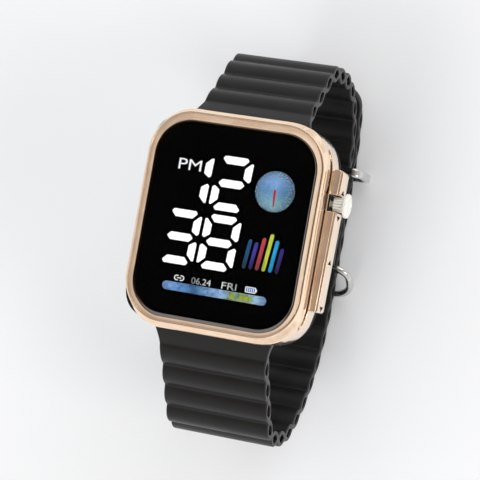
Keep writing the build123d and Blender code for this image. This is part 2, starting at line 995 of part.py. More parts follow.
def lower_route():
    route = Route(-1, lower_heading)
    square = 90
    route.bend(lower_root_bend, lower_slope - lower_heading)
    left = lower_reach - route.y - sine_step(lower_side_bend, lower_slope, square)
    route.run(left / math.cos(math.radians(lower_slope)))
    route.bend(lower_side_bend, square - lower_slope)
    turned = lower_turn_bend * math.sin(math.radians(lower_turn_angle))
    rest = lower_back_bend * (1 - math.sin(math.radians(lower_turn_angle)))
    route.run(route.z - turned - rest - back_level)
    route.bend(lower_turn_bend, lower_turn_angle)
    route.bend(lower_back_bend, square - lower_turn_angle)
    route.run(tail_bend_start + route.y)
    route.bend(tail_bend, tail_bend_angle)
    return route


def slot_distance(index):
    return first_crest + wave_pitch / 2 + index * wave_pitch


lower = lower_route()
blade_centre = ring_wire + tang_thickness / 2 + tang_rest_gap
bar_level = back_level - crest_half - ring_drop_gap - ring_wire
ring_fall = upper_level - bar_level
ring_length = math.hypot(ring_run, ring_fall)
tang_angle = math.atan2(ring_fall, ring_run) + math.asin(blade_centre / ring_length)
slot_y = lower.point(slot_distance(slot_first + slot_used))[0]
pin_y = slot_y - slot_slack + (upper_level - back_level) / math.tan(tang_angle)
bar_y = pin_y - ring_run
upper = upper_route(upper_reach - upper_back_bend - pin_y)


def crest_distances(route, last):
    places = []
    place = first_crest
    while place + wave_pitch / 2 <= last:
        places.append(place)
        place += wave_pitch
    return places


def wave_edges(route, crests, offset_sign):
    edges = []
    half_pitch = wave_pitch / 2
    for crest in crests:
        start = route.point(crest - half_pitch, offset_sign * valley_half)
        top = route.point(crest, offset_sign * crest_half)
        stop = route.point(crest + half_pitch, offset_sign * valley_half)
        edges.append(ThreePointArc(start, top, stop).edge())
    return edges


def hollow_wire(route, crest):
    half = hollow_length / 2
    start = route.point(crest - half)
    stop = route.point(crest + half)
    outer = route.point(crest, hollow_height / 2)
    inner = route.point(crest, -hollow_height / 2)
    return Wire([ThreePointArc(start, outer, stop).edge(), ThreePointArc(stop, inner, start).edge()])


def end_edge(route, start, stop, offset_value):
    first = route.point(start, offset_value)
    final = route.point(stop, offset_value)
    curved = route.spans[-1][-1]
    if curved:
        return ThreePointArc(first, route.point((start + stop) / 2, offset_value), final).edge()
    return Line(first, final).edge()


def strap_profile(route, last):
    crests = crest_distances(route, last)
    root_end = crests[0] - wave_pitch / 2
    waves_end = crests[-1] + wave_pitch / 2
    swell = (crest_half + valley_half) / 2 + root_swell
    outer_root = ThreePointArc(
        route.point(0, crest_half),
        route.point(root_end / 2, swell),
        route.point(root_end, valley_half),
    )
    inner_root = ThreePointArc(
        route.point(0, -crest_half),
        route.point(root_end / 2, -swell),
        route.point(root_end, -valley_half),
    )
    top = [outer_root.edge()] + wave_edges(route, crests, 1)
    bottom = [inner_root.edge()] + wave_edges(route, crests, -1)
    top.append(end_edge(route, waves_end, last, valley_half))
    bottom.append(end_edge(route, waves_end, last, -valley_half))
    cap = Line(route.point(last, valley_half), route.point(last, -valley_half)).edge()
    root = Line(route.point(0, -crest_half), route.point(0, crest_half)).edge()
    outline = Wire(top + [cap] + bottom + [root])
    return outline, [hollow_wire(route, crest) for crest in crests]


def on_side(face):
    return Plane.YZ * face


def root_planform(side):
    start = side * (lug_y - root_barrel - cut_overrun)
    flat = side * (frame_half_y - frame_wall)
    stop = side * (lug_y + root_length)
    middle_y = flat + (stop - flat) * flare_place_share
    middle_x = strap_half + root_flare * flare_width_share
    right = [
        Line((root_half, start), (root_half, flat)).edge(),
        ThreePointArc((root_half, flat), (middle_x, middle_y), (strap_half, stop)).edge(),
    ]
    left = [
        Line((-root_half, start), (-root_half, flat)).edge(),
        ThreePointArc((-root_half, flat), (-middle_x, middle_y), (-strap_half, stop)).edge(),
    ]
    ends = [
        Line((root_half, start), (-root_half, start)).edge(),
        Line((strap_half, stop), (-strap_half, stop)).edge(),
    ]
    low = lug_z - root_length
    return extrude(Plane.XY.offset(low) * make_face(right + left + ends), amount=2 * root_length)


def strap_half_body(route, last):
    outline, hollows = strap_profile(route, last)
    face = Face(outline, hollows)
    body = extrude(on_side(face), amount=strap_half, both=True)
    wide = extrude(on_side(face), amount=root_half, both=True)
    body += wide & root_planform(route.side)
    barrel = x_rod(root_barrel, -root_half, root_half, route.side * lug_y, lug_z)
    body += barrel
    bore = bar_tube_radius + bar_bore_fit
    return body - x_rod(bore, -root_half, root_half, route.side * lug_y, lug_z)


def make_strap_upper():
    last = upper.length - pin_barrel / 2
    body = strap_half_body(upper, last)
    body += x_rod(pin_barrel, -strap_half, strap_half, pin_y, upper_level)
    body -= x_rod(pin_radius + pin_fit, -strap_half, strap_half, pin_y, upper_level)
    notch_half_width = tang_width / 2 + tang_notch_gap
    reach = pin_barrel + tang_notch_gap
    body -= block(
        (-notch_half_width, pin_y - reach, upper_level - reach),
        (notch_half_width, pin_y + tang_eye + tang_notch_gap, upper_level + reach),
    )
    return body


def tail_planform():
    tip_y = lower.point(lower.length)[0]
    start_y = tip_y - 2 * tail_corner
    outline = RectangleRounded(strap_width, 2 * (tip_y - start_y), tail_corner)
    keep = Pos(0, start_y) * outline
    low = back_level - tail_corner
    stock = block((-strap_half, start_y, low), (strap_half, tip_y + cut_overrun, low + 3 * tail_corner))
    return stock - extrude(Plane.XY.offset(low - cut_overrun) * keep, amount=4 * tail_corner)


def make_strap_lower():
    body = strap_half_body(lower, lower.length)
    body -= tail_planform()
    for index in range(slot_first, slot_first + slot_count):
        y, z = lower.point(slot_distance(index))
        body -= Pos(0, y, z) * Box(slot_width, slot_length, 4 * crest_half)
    return body


# Spring bars
def tube_end():
    return root_half - bar_tube_inset


def make_spring_bar_tube(side):
    end = tube_end()
    tube = x_rod(bar_tube_radius, -end, end, side * lug_y, lug_z)
    return tube - x_rod(bar_tube_radius - bar_tube_wall, -end, end, side * lug_y, lug_z)


def make_spring_bar_tip(side, hand):
    shoulder = bar_tube_radius - bar_tube_wall - tip_shoulder_fit
    pin_end = bay_half + tip_pin_reach
    inner = tube_end() - tip_shoulder_length
    low, high = sorted((hand * inner, hand * (tube_end() - tip_shoulder_fit)))
    tip = x_rod(shoulder, low, high, side * lug_y, lug_z)
    low, high = sorted((hand * inner, hand * pin_end))
    return tip + x_rod(tip_pin_radius, low, high, side * lug_y, lug_z)


def make_spring_bar_spring(side):
    end = tube_end() - tip_shoulder_length - tip_spring_fit
    outer = bar_tube_radius - bar_tube_wall - tip_spring_fit
    spring = x_rod(outer, -end, end, side * lug_y, lug_z)
    return spring - x_rod(outer - tip_spring_wall, -end, end, side * lug_y, lug_z)


# Clasp
def make_buckle_ring():
    tilt = Plane(
        origin=(0, (pin_y + bar_y) / 2, (upper_level + bar_level) / 2),
        x_dir=(1, 0, 0),
        z_dir=(0, ring_fall, -ring_run),
    )
    half_x = buckle_half_width - ring_wire
    half_y = ring_length / 2
    near = ring_pin_corner
    far = ring_bar_corner
    near_turn = near * math.sqrt(0.5)
    far_turn = far * math.sqrt(0.5)
    end_x = strap_half + pin_fit + ring_drop_gap
    pin_side = 1 if (tilt.to_local_coords(Vector(0, pin_y, upper_level))).Y > 0 else -1
    points = [(end_x, half_y), (half_x - near, half_y), (half_x, half_y - near),
              (half_x, far - half_y), (half_x - far, -half_y)]
    mid_upper = (half_x - near + near_turn, half_y - near + near_turn)
    mid_lower = (half_x - far + far_turn, far - half_y - far_turn)

    def place(point, mirror):
        return (mirror * point[0], pin_side * point[1])

    edges = []
    for mirror in (1, -1):
        spots = [place(point, mirror) for point in points]
        side_edges = [
            Line(spots[0], spots[1]).edge(),
            ThreePointArc(spots[1], place(mid_upper, mirror), spots[2]).edge(),
            Line(spots[2], spots[3]).edge(),
            ThreePointArc(spots[3], place(mid_lower, mirror), spots[4]).edge(),
        ]
        edges += side_edges
    edges.append(Line(place(points[4], 1), place(points[4], -1)).edge())
    path = tilt * Wire(edges)
    start = tilt * Vertex(end_x, pin_side * half_y, 0)
    section = Plane(origin=start.center(), z_dir=(1, 0, 0)) * Circle(ring_wire)
    ring = sweep(section, path=path)
    socket_end = end_x + pin_socket_depth
    return ring - x_rod(pin_radius, -socket_end, socket_end, pin_y, upper_level)


def make_buckle_pin():
    end = strap_half + pin_fit + ring_drop_gap + pin_socket_depth
    return x_rod(pin_radius, -end, end, pin_y, upper_level)


def make_buckle_tang():
    bore = pin_radius + pin_fit
    half = tang_width / 2
    eye = x_rod(tang_eye, -half, half, pin_y, upper_level)
    length = ring_length + tang_overhang
    blade_face = Pos(length / 2, 0) * Rectangle(length, tang_thickness)
    tip = blade_face.vertices().group_by(Axis.X)[-1]
    blade_face = fillet(tip, tang_tip_round)
    along = (0, -math.cos(tang_angle), -math.sin(tang_angle))
    plane = Plane(origin=(0, pin_y, upper_level), x_dir=along, z_dir=(1, 0, 0))
    blade = extrude(plane * blade_face, amount=half, both=True)
    return eye + blade - x_rod(bore, -half, half, pin_y, upper_level)


def make_keeper_loop():
    inner_low = back_level - crest_half - keeper_gap
    inner_high = upper_level + crest_half + keeper_gap
    middle = (inner_low + inner_high) / 2
    inner_height = inner_high - inner_low
    outer = RectangleRounded(2 * keeper_half_width, inner_height + 2 * keeper_wall, keeper_corner)
    inner = RectangleRounded(
        2 * (keeper_half_width - keeper_wall), inner_height, keeper_corner - keeper_wall
    )
    plane = Plane(origin=(0, keeper_place, middle), x_dir=(1, 0, 0), z_dir=(0, 1, 0))
    loop = extrude(plane * (outer - inner), amount=keeper_depth / 2, both=True)
    ends = loop.edges().group_by(Axis.Y)
    return fillet(ends[0] + ends[-1], keeper_round)


def all_nodes():
    nodes = {
        "bezel_frame": make_bezel_frame(),
        "lens": make_lens(),
        "lens_adhesive": make_lens_adhesive(),
        "display_mask": make_display_mask(),
        "digit_segments": make_digit_segments(),
        "compass_disc": make_compass_disc(),
        "compass_hand": make_compass_hand(),
        "colour_bars": make_colour_bars(),
        "gradient_bar": make_gradient_bar(),
        "light_guide": make_light_guide(),
        "main_board": make_main_board(),
        "led_chips": make_led_chips(),
        "controller_chip": make_controller_chip(),
        "quartz_crystal": make_quartz_crystal(),
        "coin_cell": make_coin_cell(),
        "movement_holder": make_movement_holder(),
        "cell_contact_top": make_cell_contact_top(),
        "cell_contact_side": make_cell_contact_side(),
        "switch_body": make_switch_body(),
        "switch_plunger": make_switch_plunger(),
        "case_body": make_case_body(),
        "back_cover": make_back_cover(),
        "back_gasket": make_back_gasket(),
        "back_screws": make_back_screws(),
        "crown_tube": make_crown_tube(),
        "crown_stem": make_crown_stem(),
        "crown_o_ring": make_crown_o_ring(),
        "crown_clip": make_crown_clip(),
        "crown_spring": make_crown_spring(),
        "crown_knob": make_crown_knob(),
        "strap_upper": make_strap_upper(),
        "strap_lower": make_strap_lower(),
        "buckle_ring": make_buckle_ring(),
        "buckle_pin": make_buckle_pin(),
        "buckle_tang": make_buckle_tang(),
        "keeper_loop": make_keeper_loop(),
    }
    for side, name in ((1, "upper"), (-1, "lower")):
        nodes["spring_bar_tube_" + name] = make_spring_bar_tube(side)
        nodes["spring_bar_spring_" + name] = make_spring_bar_spring(side)
        for hand, place in ((1, "right"), (-1, "left")):
            nodes["spring_bar_tip_" + name + "_" + place] = make_spring_bar_tip(side, hand)
    return nodes


def main():
    os.makedirs("parts", exist_ok=True)
    for name, shape in all_nodes().items():
        export_step(shape, "parts/" + name + ".step")


main()
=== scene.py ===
import math

import bmesh
import bpy
from mathutils import Matrix, Vector


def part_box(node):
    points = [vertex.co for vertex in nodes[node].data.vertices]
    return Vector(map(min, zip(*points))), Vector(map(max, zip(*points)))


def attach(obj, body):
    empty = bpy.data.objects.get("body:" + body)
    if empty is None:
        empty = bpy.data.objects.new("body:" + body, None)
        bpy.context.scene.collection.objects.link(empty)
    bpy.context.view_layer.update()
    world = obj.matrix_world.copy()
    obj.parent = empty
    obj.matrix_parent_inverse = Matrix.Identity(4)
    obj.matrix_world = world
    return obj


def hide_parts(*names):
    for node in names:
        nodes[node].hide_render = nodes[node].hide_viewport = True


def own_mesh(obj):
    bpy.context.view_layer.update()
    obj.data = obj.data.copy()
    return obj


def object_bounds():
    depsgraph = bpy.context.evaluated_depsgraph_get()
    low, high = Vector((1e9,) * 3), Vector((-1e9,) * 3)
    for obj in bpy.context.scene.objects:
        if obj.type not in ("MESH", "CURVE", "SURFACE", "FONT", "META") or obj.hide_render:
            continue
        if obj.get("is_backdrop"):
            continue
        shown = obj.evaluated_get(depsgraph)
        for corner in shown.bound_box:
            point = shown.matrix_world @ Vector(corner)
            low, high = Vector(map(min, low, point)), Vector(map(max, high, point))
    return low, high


# Digital watch in plated rose gold with a black silicone strap. Lengths are in metres, or in millimetres where
# a comment says so, in the frame of the CAD model: +Z out of the display, +Y to 12 o'clock, +X to the crown.

bl_info = {
    "name": "Digital watch with a wave strap",
    "version": (1, 0, 0),
    "blender": (4, 5, 0),
    "location": "3D View > Sidebar > Watch",
    "description": "Dresses a packed digital watch model with fine meshes and procedural materials",
    "category": "Object",
}

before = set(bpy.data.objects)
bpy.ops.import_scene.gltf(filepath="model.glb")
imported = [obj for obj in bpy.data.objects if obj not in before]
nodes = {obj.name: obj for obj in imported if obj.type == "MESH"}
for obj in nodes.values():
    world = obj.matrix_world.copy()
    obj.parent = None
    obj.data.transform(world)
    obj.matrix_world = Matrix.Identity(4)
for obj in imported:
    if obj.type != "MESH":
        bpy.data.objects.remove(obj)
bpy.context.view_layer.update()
MM = 0.001
ENDS = [(side, hand) for side in ("upper", "lower") for hand in ("left", "right")]


# Colour and material helpers
def linear(text):
    """sRGB hex text to a linear colour."""
    values = [int(text[i:i + 2], 16) / 255 for i in (1, 3, 5)]
    return [v / 12.92 if v <= 0.04045 else ((v + 0.055) / 1.055) ** 2.4 for v in values] + [1.0]


def put(tree, socket, value):
    """Feeds an input from another socket, or sets it to a plain value."""
    if isinstance(value, bpy.types.NodeSocket):
        tree.links.new(value, socket)
    else:
        socket.default_value = value


def node(tree, kind, *values, **settings):
    """Adds one node. Values go to its first inputs, settings to the attributes or inputs that they name."""
    made = tree.nodes.new("ShaderNode" + kind)
    for key, value in settings.items():
        if hasattr(made, key):
            setattr(made, key, value)
        else:
            put(tree, made.inputs[key.replace("_", " ")], value)
    for socket, value in zip(made.inputs, values):
        put(tree, socket, value)
    sources = [v for v in (*values, *settings.values()) if isinstance(v, bpy.types.NodeSocket)]
    column = max([source.node.location.x for source in sources], default=-1700) + 220
    made.location = (column, 260 * (3 - len(tree.nodes) % 7))
    return made


def maths(tree, operation, *values, **settings):
    return node(tree, "Math", *values, operation=operation, **settings).outputs[0]


def vectors(tree, operation, *values):
    return node(tree, "VectorMath", *values, operation=operation).outputs[0]


def spread(tree, source, start, stop, low=0.0, high=1.0):
    """Carries a value from the range start to stop over to the range low to high."""
    return node(tree, "MapRange", source, start, stop, low, high).outputs["Result"]


def speckle(tree, where, size, detail, **settings):
    """Noise whose lumps are size metres across."""
    return node(tree, "TexNoise", where, Scale=1 / size, Detail=detail, **settings).outputs["Fac"]


def ramp(tree, source, stops, interpolation="LINEAR"):
    """Colours along a value, from stops of (position, hex colour)."""
    made = node(tree, "ValToRGB", source)
    made.color_ramp.interpolation = interpolation
    elements = made.color_ramp.elements
    while len(elements) < len(stops):
        elements.new(0.5)
    for element, (position, colour) in zip(elements, stops):
        element.position = position
        element.color = linear(colour)
    return made.outputs["Color"]


def mix(tree, factor, first, second, blend="MIX"):
    made = node(tree, "Mix", factor, data_type="RGBA", blend_type=blend)
    put(tree, made.inputs[6], first)
    put(tree, made.inputs[7], second)
    return made.outputs[2]


def multiply(tree, first, *others):
    """Colours multiplied one after another."""
    for other in others:
        first = mix(tree, 1.0, first, other, "MULTIPLY")
    return first


def drive(material, **inputs):
    """Feeds or sets inputs of the material's Principled shader."""
    tree = material.node_tree
    for key, value in inputs.items():
        put(tree, tree.nodes["Principled BSDF"].inputs[key.replace("_", " ")], value)


def shader(name, base, rough, **inputs):
    """A material with one Principled shader."""
    material = bpy.data.materials.new(name)
    material.use_nodes = True
    drive(material, Base_Color=linear(base), Roughness=rough, **inputs)
    return material


def grain(material, size, strength, depth=0.02 * MM, detail=3.0, stretch=(1, 1, 1), wear=(), tones=()):
    """A fine noise bump whose lumps are size metres across. Gives back the noise.

    It also spreads the roughness over wear (least, most) and the base colour over tones (ramp stops).
    """
    tree = material.node_tree
    where = node(tree, "TexCoord").outputs["Object"]
    scaled = node(tree, "Mapping", where, Scale=stretch).outputs["Vector"]
    noise = speckle(tree, scaled, size, detail, Roughness=0.6)
    bump = node(tree, "Bump", Height=noise, Strength=strength, Distance=depth)
    drive(material, Normal=bump.outputs["Normal"])
    if wear:
        drive(material, Roughness=spread(tree, noise, 0.3, 0.7, *wear))
    if tones:
        drive(material, Base_Color=ramp(tree, noise, tones))
    return noise


def surface(name, base, rough, lumps, wear=(), tones=(), **inputs):
    """A material with a grain; lumps holds its size, strength, depth, detail and stretch, as for grain."""
    material = shader(name, base, rough, **inputs)
    grain(material, *lumps, wear=wear, tones=tones)
    return material


def dress(material, *names):
    """Gives CAD nodes one material."""
    for name in names:
        made = nodes[name]
        if not made.material_slots:
            made.data.materials.append(material)
        for slot in made.material_slots:
            slot.link = "OBJECT"
            slot.material = material


# Mesh helpers
def linked(name, data):
    """A new object in the scene."""
    made = bpy.data.objects.new(name, data)
    bpy.context.scene.collection.objects.link(made)
    return made


def add_object(name, mesh, material, stands_for=(), smooth_angle=35, body="root"):
    """A shaded piece of the watch that rides on a body, stands for CAD nodes and fills a slot."""
    made = linked(name, mesh)
    mesh.materials.clear()
    mesh.materials.append(material)
    mesh.shade_smooth()
    mesh.set_sharp_from_angle(angle=math.radians(smooth_angle))
    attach(made, body)
    if stands_for:
        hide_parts(*stands_for)
    return made


def mesh_from(name, points, faces):
    mesh = bpy.data.meshes.new(name)
    mesh.from_pydata([tuple(p) for p in points], [], faces)
    tidy = bmesh.new()
    tidy.from_mesh(mesh)
    bmesh.ops.remove_doubles(tidy, verts=tidy.verts, dist=1e-7)
    bmesh.ops.recalc_face_normals(tidy, faces=tidy.faces)
    tidy.to_mesh(mesh)
    tidy.free()
    return mesh


def joined(name, meshes):
    """Several meshes as one."""
    points, faces = [], []
    for mesh in meshes:
        faces += [tuple(i + len(points) for i in polygon.vertices) for polygon in mesh.polygons]
        points += [v.co.copy() for v in mesh.vertices]
    return mesh_from(name, points, faces)


def settled(made):
    """The plain mesh of an object with its modifiers applied; the object itself goes."""
    graph = bpy.context.evaluated_depsgraph_get()
    mesh = bpy.data.meshes.new_from_object(made.evaluated_get(graph))
    bpy.data.objects.remove(made)
    return mesh


def cut(mesh, cutters):
    """What is left of a mesh when the cutter meshes are taken away."""
    name = mesh.name
    made = linked(name, mesh)
    helpers = [linked("cutter", cutter) for cutter in cutters]
    for helper in helpers:
        modifier = made.modifiers.new("cut", "BOOLEAN")
        modifier.object = helper
        modifier.solver = "EXACT"
    result = settled(made)
    for helper in helpers:
        bpy.data.objects.remove(helper)
    if not result.polygons:
        raise RuntimeError(name + ": nothing is left of it after the cut")
    return result


def box_mesh(low, high):
    """A box between two corners in millimetres."""
    xs, ys, zs = zip(low, high)
    points = [(x * MM, y * MM, z * MM) for x in xs for y in ys for z in zs]
    faces = [(0, 1, 3, 2), (4, 6, 7, 5), (0, 4, 5, 1), (2, 3, 7, 6), (0, 2, 6, 4), (1, 5, 7, 3)]
    return mesh_from("box", points, faces)


def side_faces(count):
    """Faces between two rings of points."""
    return [(i, (i + 1) % count, (i + 1) % count + count, i + count) for i in range(count)]


def prism_mesh(outline, low, high, along="Z", name="prism"):
    """An outline of 2D points pulled along X or Z from low to high."""
    points = [(level, a, b) if along == "X" else (a, b, level) for level in (low, high) for a, b in outline]
    count = len(outline)
    return mesh_from(name, points, [tuple(range(count)), tuple(range(count, 2 * count))] + side_faces(count))


def metres(outline):
    return [(a * MM, b * MM) for a, b in outline]


def oblong(left, foot, right, top):
    return [(left, foot), (right, foot), (right, top), (left, top)]


def rounded(points, radii, steps=5):
    """Rounds the corners of a 2D outline, each with its own radius, by tangent arcs."""
    out = []
    count = len(points)
    for index, point in enumerate(points):
        radius = radii[index] if isinstance(radii, (list, tuple)) else radii
        if radius <= 0:
            out.append(tuple(point))
            continue
        here = Vector(point)
        before = (Vector(points[index - 1]) - here).normalized()
        after = (Vector(points[(index + 1) % count]) - here).normalized()
        angle = before.angle(after)
        reach = radius / math.tan(angle / 2)
        start = here + before * reach
        stop = here + after * reach
        centre = here + (before + after).normalized() * (radius / math.sin(angle / 2))
        first = start - centre
        sweep = math.pi - angle
        sign = 1 if first.cross(stop - centre) > 0 else -1
        for step in range(steps + 1):
            turn = sign * sweep * step / steps
            out.append((
                centre.x + first.x * math.cos(turn) - first.y * math.sin(turn),
                centre.y + first.x * math.sin(turn) + first.y * math.cos(turn),
            ))
    return out


def window_path(corner_steps=20, side_steps=6):
    """Points round the window's edge with their outward directions, as (x, y, out_x, out_y)."""
    settings = bpy.context.scene.watch_case
    half_x, half_y, radius = settings.window_width / 2, settings.window_height / 2, settings.window_corner

    def spot(quarter, turn):
        c, s = math.cos(turn), math.sin(turn)
        centre_x = (half_x - radius) * (1 if quarter % 4 in (0, 3) else -1)
        centre_y = (half_y - radius) * (1 if quarter % 4 in (0, 1) else -1)
        return centre_x + radius * c, centre_y + radius * s, c, s

    out = []
    for quarter in range(4):
        start = quarter * math.pi / 2
        out += [spot(quarter, start + math.pi / 2 * step / corner_steps) for step in range(corner_steps + 1)]
        x, y, out_x, out_y = out[-1]
        next_x, next_y = spot(quarter + 1, start + math.pi / 2)[:2]
        for step in range(1, side_steps):
            share = step / side_steps
            out.append((x + (next_x - x) * share, y + (next_y - y) * share, out_x, out_y))
    return out


def swept(name, section):
    """A closed section carried round the window.

    The section is given for an outward direction, as (distance out from the window's edge, height over the
    crystal's face) in millimetres.
    """
    top = bpy.context.scene.watch_case.face_height
    path = window_path()
    points = []
    for x, y, ox, oy in path:
        profile = section(ox, oy)
        points += [(x + o * MM * ox, y + o * MM * oy, top + z * MM) for o, z in profile]
    width = len(profile)
    faces = []
    for i in range(len(path)):
        j = (i + 1) % len(path)
        for k in range(width):
            n = (k + 1) % width
            faces.append((i * width + k, j * width + k, j * width + n, i * width + n))
    return mesh_from(name, points, faces)


def lathe(name, profile, centre, steps):
    """A profile of (x, radius) turned about an axis along X through centre."""
    turns = [2 * math.pi * step / steps for step in range(steps)]
    points = [
        (x, centre[1] + radius * math.cos(turn), centre[2] + radius * math.sin(turn))
        for x, radius in profile for turn in turns
    ]
    faces = []
    for first in range(0, (len(profile) - 1) * steps, steps):
        faces += [tuple(first + i for i in face) for face in side_faces(steps)]
    if profile[0][1] > 0:
        faces.append(tuple(range(steps)))
    if profile[-1][1] > 0:
        faces.append(tuple(range((len(profile) - 1) * steps, len(profile) * steps)))
    return mesh_from(name, points, faces)


def tube_mesh(name, points, radius):
    """A round wire along close points."""
    curve = bpy.data.curves.new(name, "CURVE")
    curve.dimensions = "3D"
    spline = curve.splines.new("POLY")
    spline.points.add(len(points) - 1)
    for target, point in zip(spline.points, points):
        target.co = (*point, 1)
    curve.bevel_depth = radius
    curve.bevel_resolution = 1
    curve.use_fill_caps = True
    return settled(linked(name, curve))


# Sizes and colours that a user would change
def hex_colour(name, description, default):
    return bpy.props.StringProperty(name=name, description=description + " as hex", default=default)


def length(name, description, millimetres):
    return bpy.props.FloatProperty(name=name, description=description, default=millimetres * MM, unit="LENGTH")


def amount(name, description, default, least=0.0):
    return bpy.props.FloatProperty(name=name, description=description, default=default, min=least)


class WatchCaseSettings(bpy.types.PropertyGroup):
    plating: hex_colour("Plating colour", "Rose-gold colour", "#EFC9A8")
    window_width: length("Window width", "Width of the black window", 33.0)
    window_height: length("Window height", "Height of the black window", 38.5)
    window_corner: length("Window corner", "Corner radius of the window", 7.0)
    face_height: length("Face height", "Level of the crystal's face above the case back", 11.0)


class WatchDisplaySettings(bpy.types.PropertyGroup):
    lit: hex_colour("Lit colour", "Colour of the lit digits", "#FFFFFF")
    glow: amount("Glow", "Strength of the lit digits", 1.15)
    weekday: bpy.props.StringProperty(name="Weekday", description="Three letters of the weekday", default="FRI")
    date: bpy.props.StringProperty(name="Date", description="Month and day", default="06.24")


class WatchStrapSettings(bpy.types.PropertyGroup):
    colour: hex_colour("Strap colour", "Silicone colour", "#161616")
    width: length("Width", "Width of the strap", 22.0)
    rim: length("Rim radius", "Rounding of the strap's side edges", 0.35)


class WatchClaspSettings(bpy.types.PropertyGroup):
    colour: hex_colour("Clasp colour", "Steel colour", "#D3D3D1")


class WatchStageSettings(bpy.types.PropertyGroup):
    floor: hex_colour("Floor colour", "Pale floor", "#F1F2F4")
    key: amount("Key light", "Power of the large soft light", 5.2)
    ambient: amount("Ambient share", "Share of the room's light that falls on matt faces", 0.84)
    lens: amount("Camera lens", "Focal length of the camera in millimetres", 135.0, 10.0)


# Case: plated frame, guard rail and back
def plated_gold():
    """Rose-gold plated ABS buffed along the band: pastel mirror streaks that run with the mouldings."""
    material = shader(
        "rose_gold_plating_buffed", bpy.context.scene.watch_case.plating, 0.16,
        Metallic=0.84, Coat_Weight=0.3, Coat_Roughness=0.08,
    )
    tree = material.node_tree
    # Buffing lines 0.35 mm apart, drawn coarser than real ones so that they show.
    noise = grain(material, 0.35 * MM, 0.12, 0.02 * MM, 2.0, (0.08, 0.08, 1), wear=(0.09, 0.17))
    warm = ramp(tree, noise, [(0.3, "#F5D5B7"), (0.7, "#FFE6CC")])
    # Painted shade: the plating colour is darkened to a dull brown wherever ambient occlusion finds a crevice.
    hollow = node(tree, "AmbientOcclusion", samples=6, Distance=1.1 * MM).outputs["AO"]
    depth = spread(tree, hollow, 0.1, 0.5, 1.0, 0.0)
    drive(material, Base_Color=mix(tree, depth, warm, linear("#8A6046")))
    return material


# The moulding's section at its four sides as (distance out from the window's edge, height over the crystal's
# face) in millimetres: lip, slope, groove, ridge, step, outer slope, cove or wall, rim and outer wall.
SECTIONS = {
    "right": (
        (0.3, -0.1), (1.28, 0.38), (1.38, -0.1), (1.5, 0.46), (1.66, 0.42), (1.9, -0.05), (1.98, -0.85),
        (2.1, -0.95), (2.08, -4.6), (2.26, -4.6), (2.3, -3.6), (2.5, -3.6), (2.5, -9.4),
    ),
    "top": (
        (0.1, -0.25), (1.46, 0.42), (1.5, 0.3), (1.56, 0.46), (1.74, 0.46), (1.84, 0.3), (2.4, -0.4),
        (2.5, -0.8), (2.5, -1.6), (2.5, -2.4), (2.5, -3.2), (2.5, -4.0), (2.5, -9.4),
    ),
    "left": (
        (0.05, -0.08), (0.82, 0.32), (0.86, 0.28), (0.92, 0.38), (1.02, 0.38), (1.46, 0.04), (1.7, -1.2),
        (1.9, -2.6), (2.04, -3.7), (2.1, -4.0), (2.3, -4.2), (2.5, -4.4), (2.5, -9.4),
    ),
    "bottom": (
        (0.6, -0.12), (1.2, 0.08), (1.26, 0.0), (1.34, 0.3), (1.6, 0.34), (1.72, 0.2), (2.56, -0.7),
        (2.7, -1.1), (2.71, -2.0), (2.72, -2.8), (2.73, -3.6), (2.74, -4.4), (2.62, -9.4),
    ),
}
SECTION_RADII = (0.04, 0.08, 0.03, 0.06, 0.06, 0.06, 0.25, 0.05, 0.1, 0.1, 0.05, 0.06, 0.12)
CORNER_FLARE = 0.42
CORNER_FLARE_START = 6
# Angle from the X axis at which a side's section has given way to its neighbour's, in degrees.
GROOVE_RUN_OUT = 62
CORNER_RUN_OUT = 90
# The guard rail in millimetres: its inner face, its outer face at the top and the foot, its two ends and
# length, and the notch that the crown stands in.
RAIL_INNER = 18.94
RAIL_OUTER_TOP, RAIL_OUTER_FOOT = 20.98, 20.58
RAIL_TOP, RAIL_FOOT, RAIL_LENGTH = 14.2, -13.85, 28.05
NOTCH_TOP, NOTCH_FOOT = 9.24, 5.96


def side_shares(out_x, out_y):
    """How much each side's section counts for an outward direction; they add up to one."""
    turn = math.degrees(math.atan2(abs(out_y), abs(out_x)))
    # The groove beside the guard rail runs out early in the right-hand corners.
    share = min(1.0, max(0.0, 1 - turn / (GROOVE_RUN_OUT if out_x > 0 else CORNER_RUN_OUT)))
    across = share * share * (3 - 2 * share)
    return {"right" if out_x > 0 else "left": across, "top" if out_y > 0 else "bottom": 1 - across}


def bezel_section(out_x, out_y):
    """The moulding's closed section for one outward direction."""
    shares = side_shares(out_x, out_y)
    points = []
    for k in range(len(SECTION_RADII)):
        o, z = (sum(share * SECTIONS[side][k][axis] for side, share in shares.items()) for axis in (0, 1))
        if k >= CORNER_FLARE_START and out_x > 0:
            # The outer wall is squarer than the window at the right-hand corners.
            o += CORNER_FLARE * (2 * out_x * out_y) ** 2
        points.append((o, z))
    lip = points[0][0]
    points += [(1.2, -9.4), (1.2, -3.0), (-0.9, -3.0), (-0.9, -1.3), (lip, -1.3)]
    return rounded(points, SECTION_RADII + (0.0, 0.1, 0.05, 0.05, 0.0), 6)


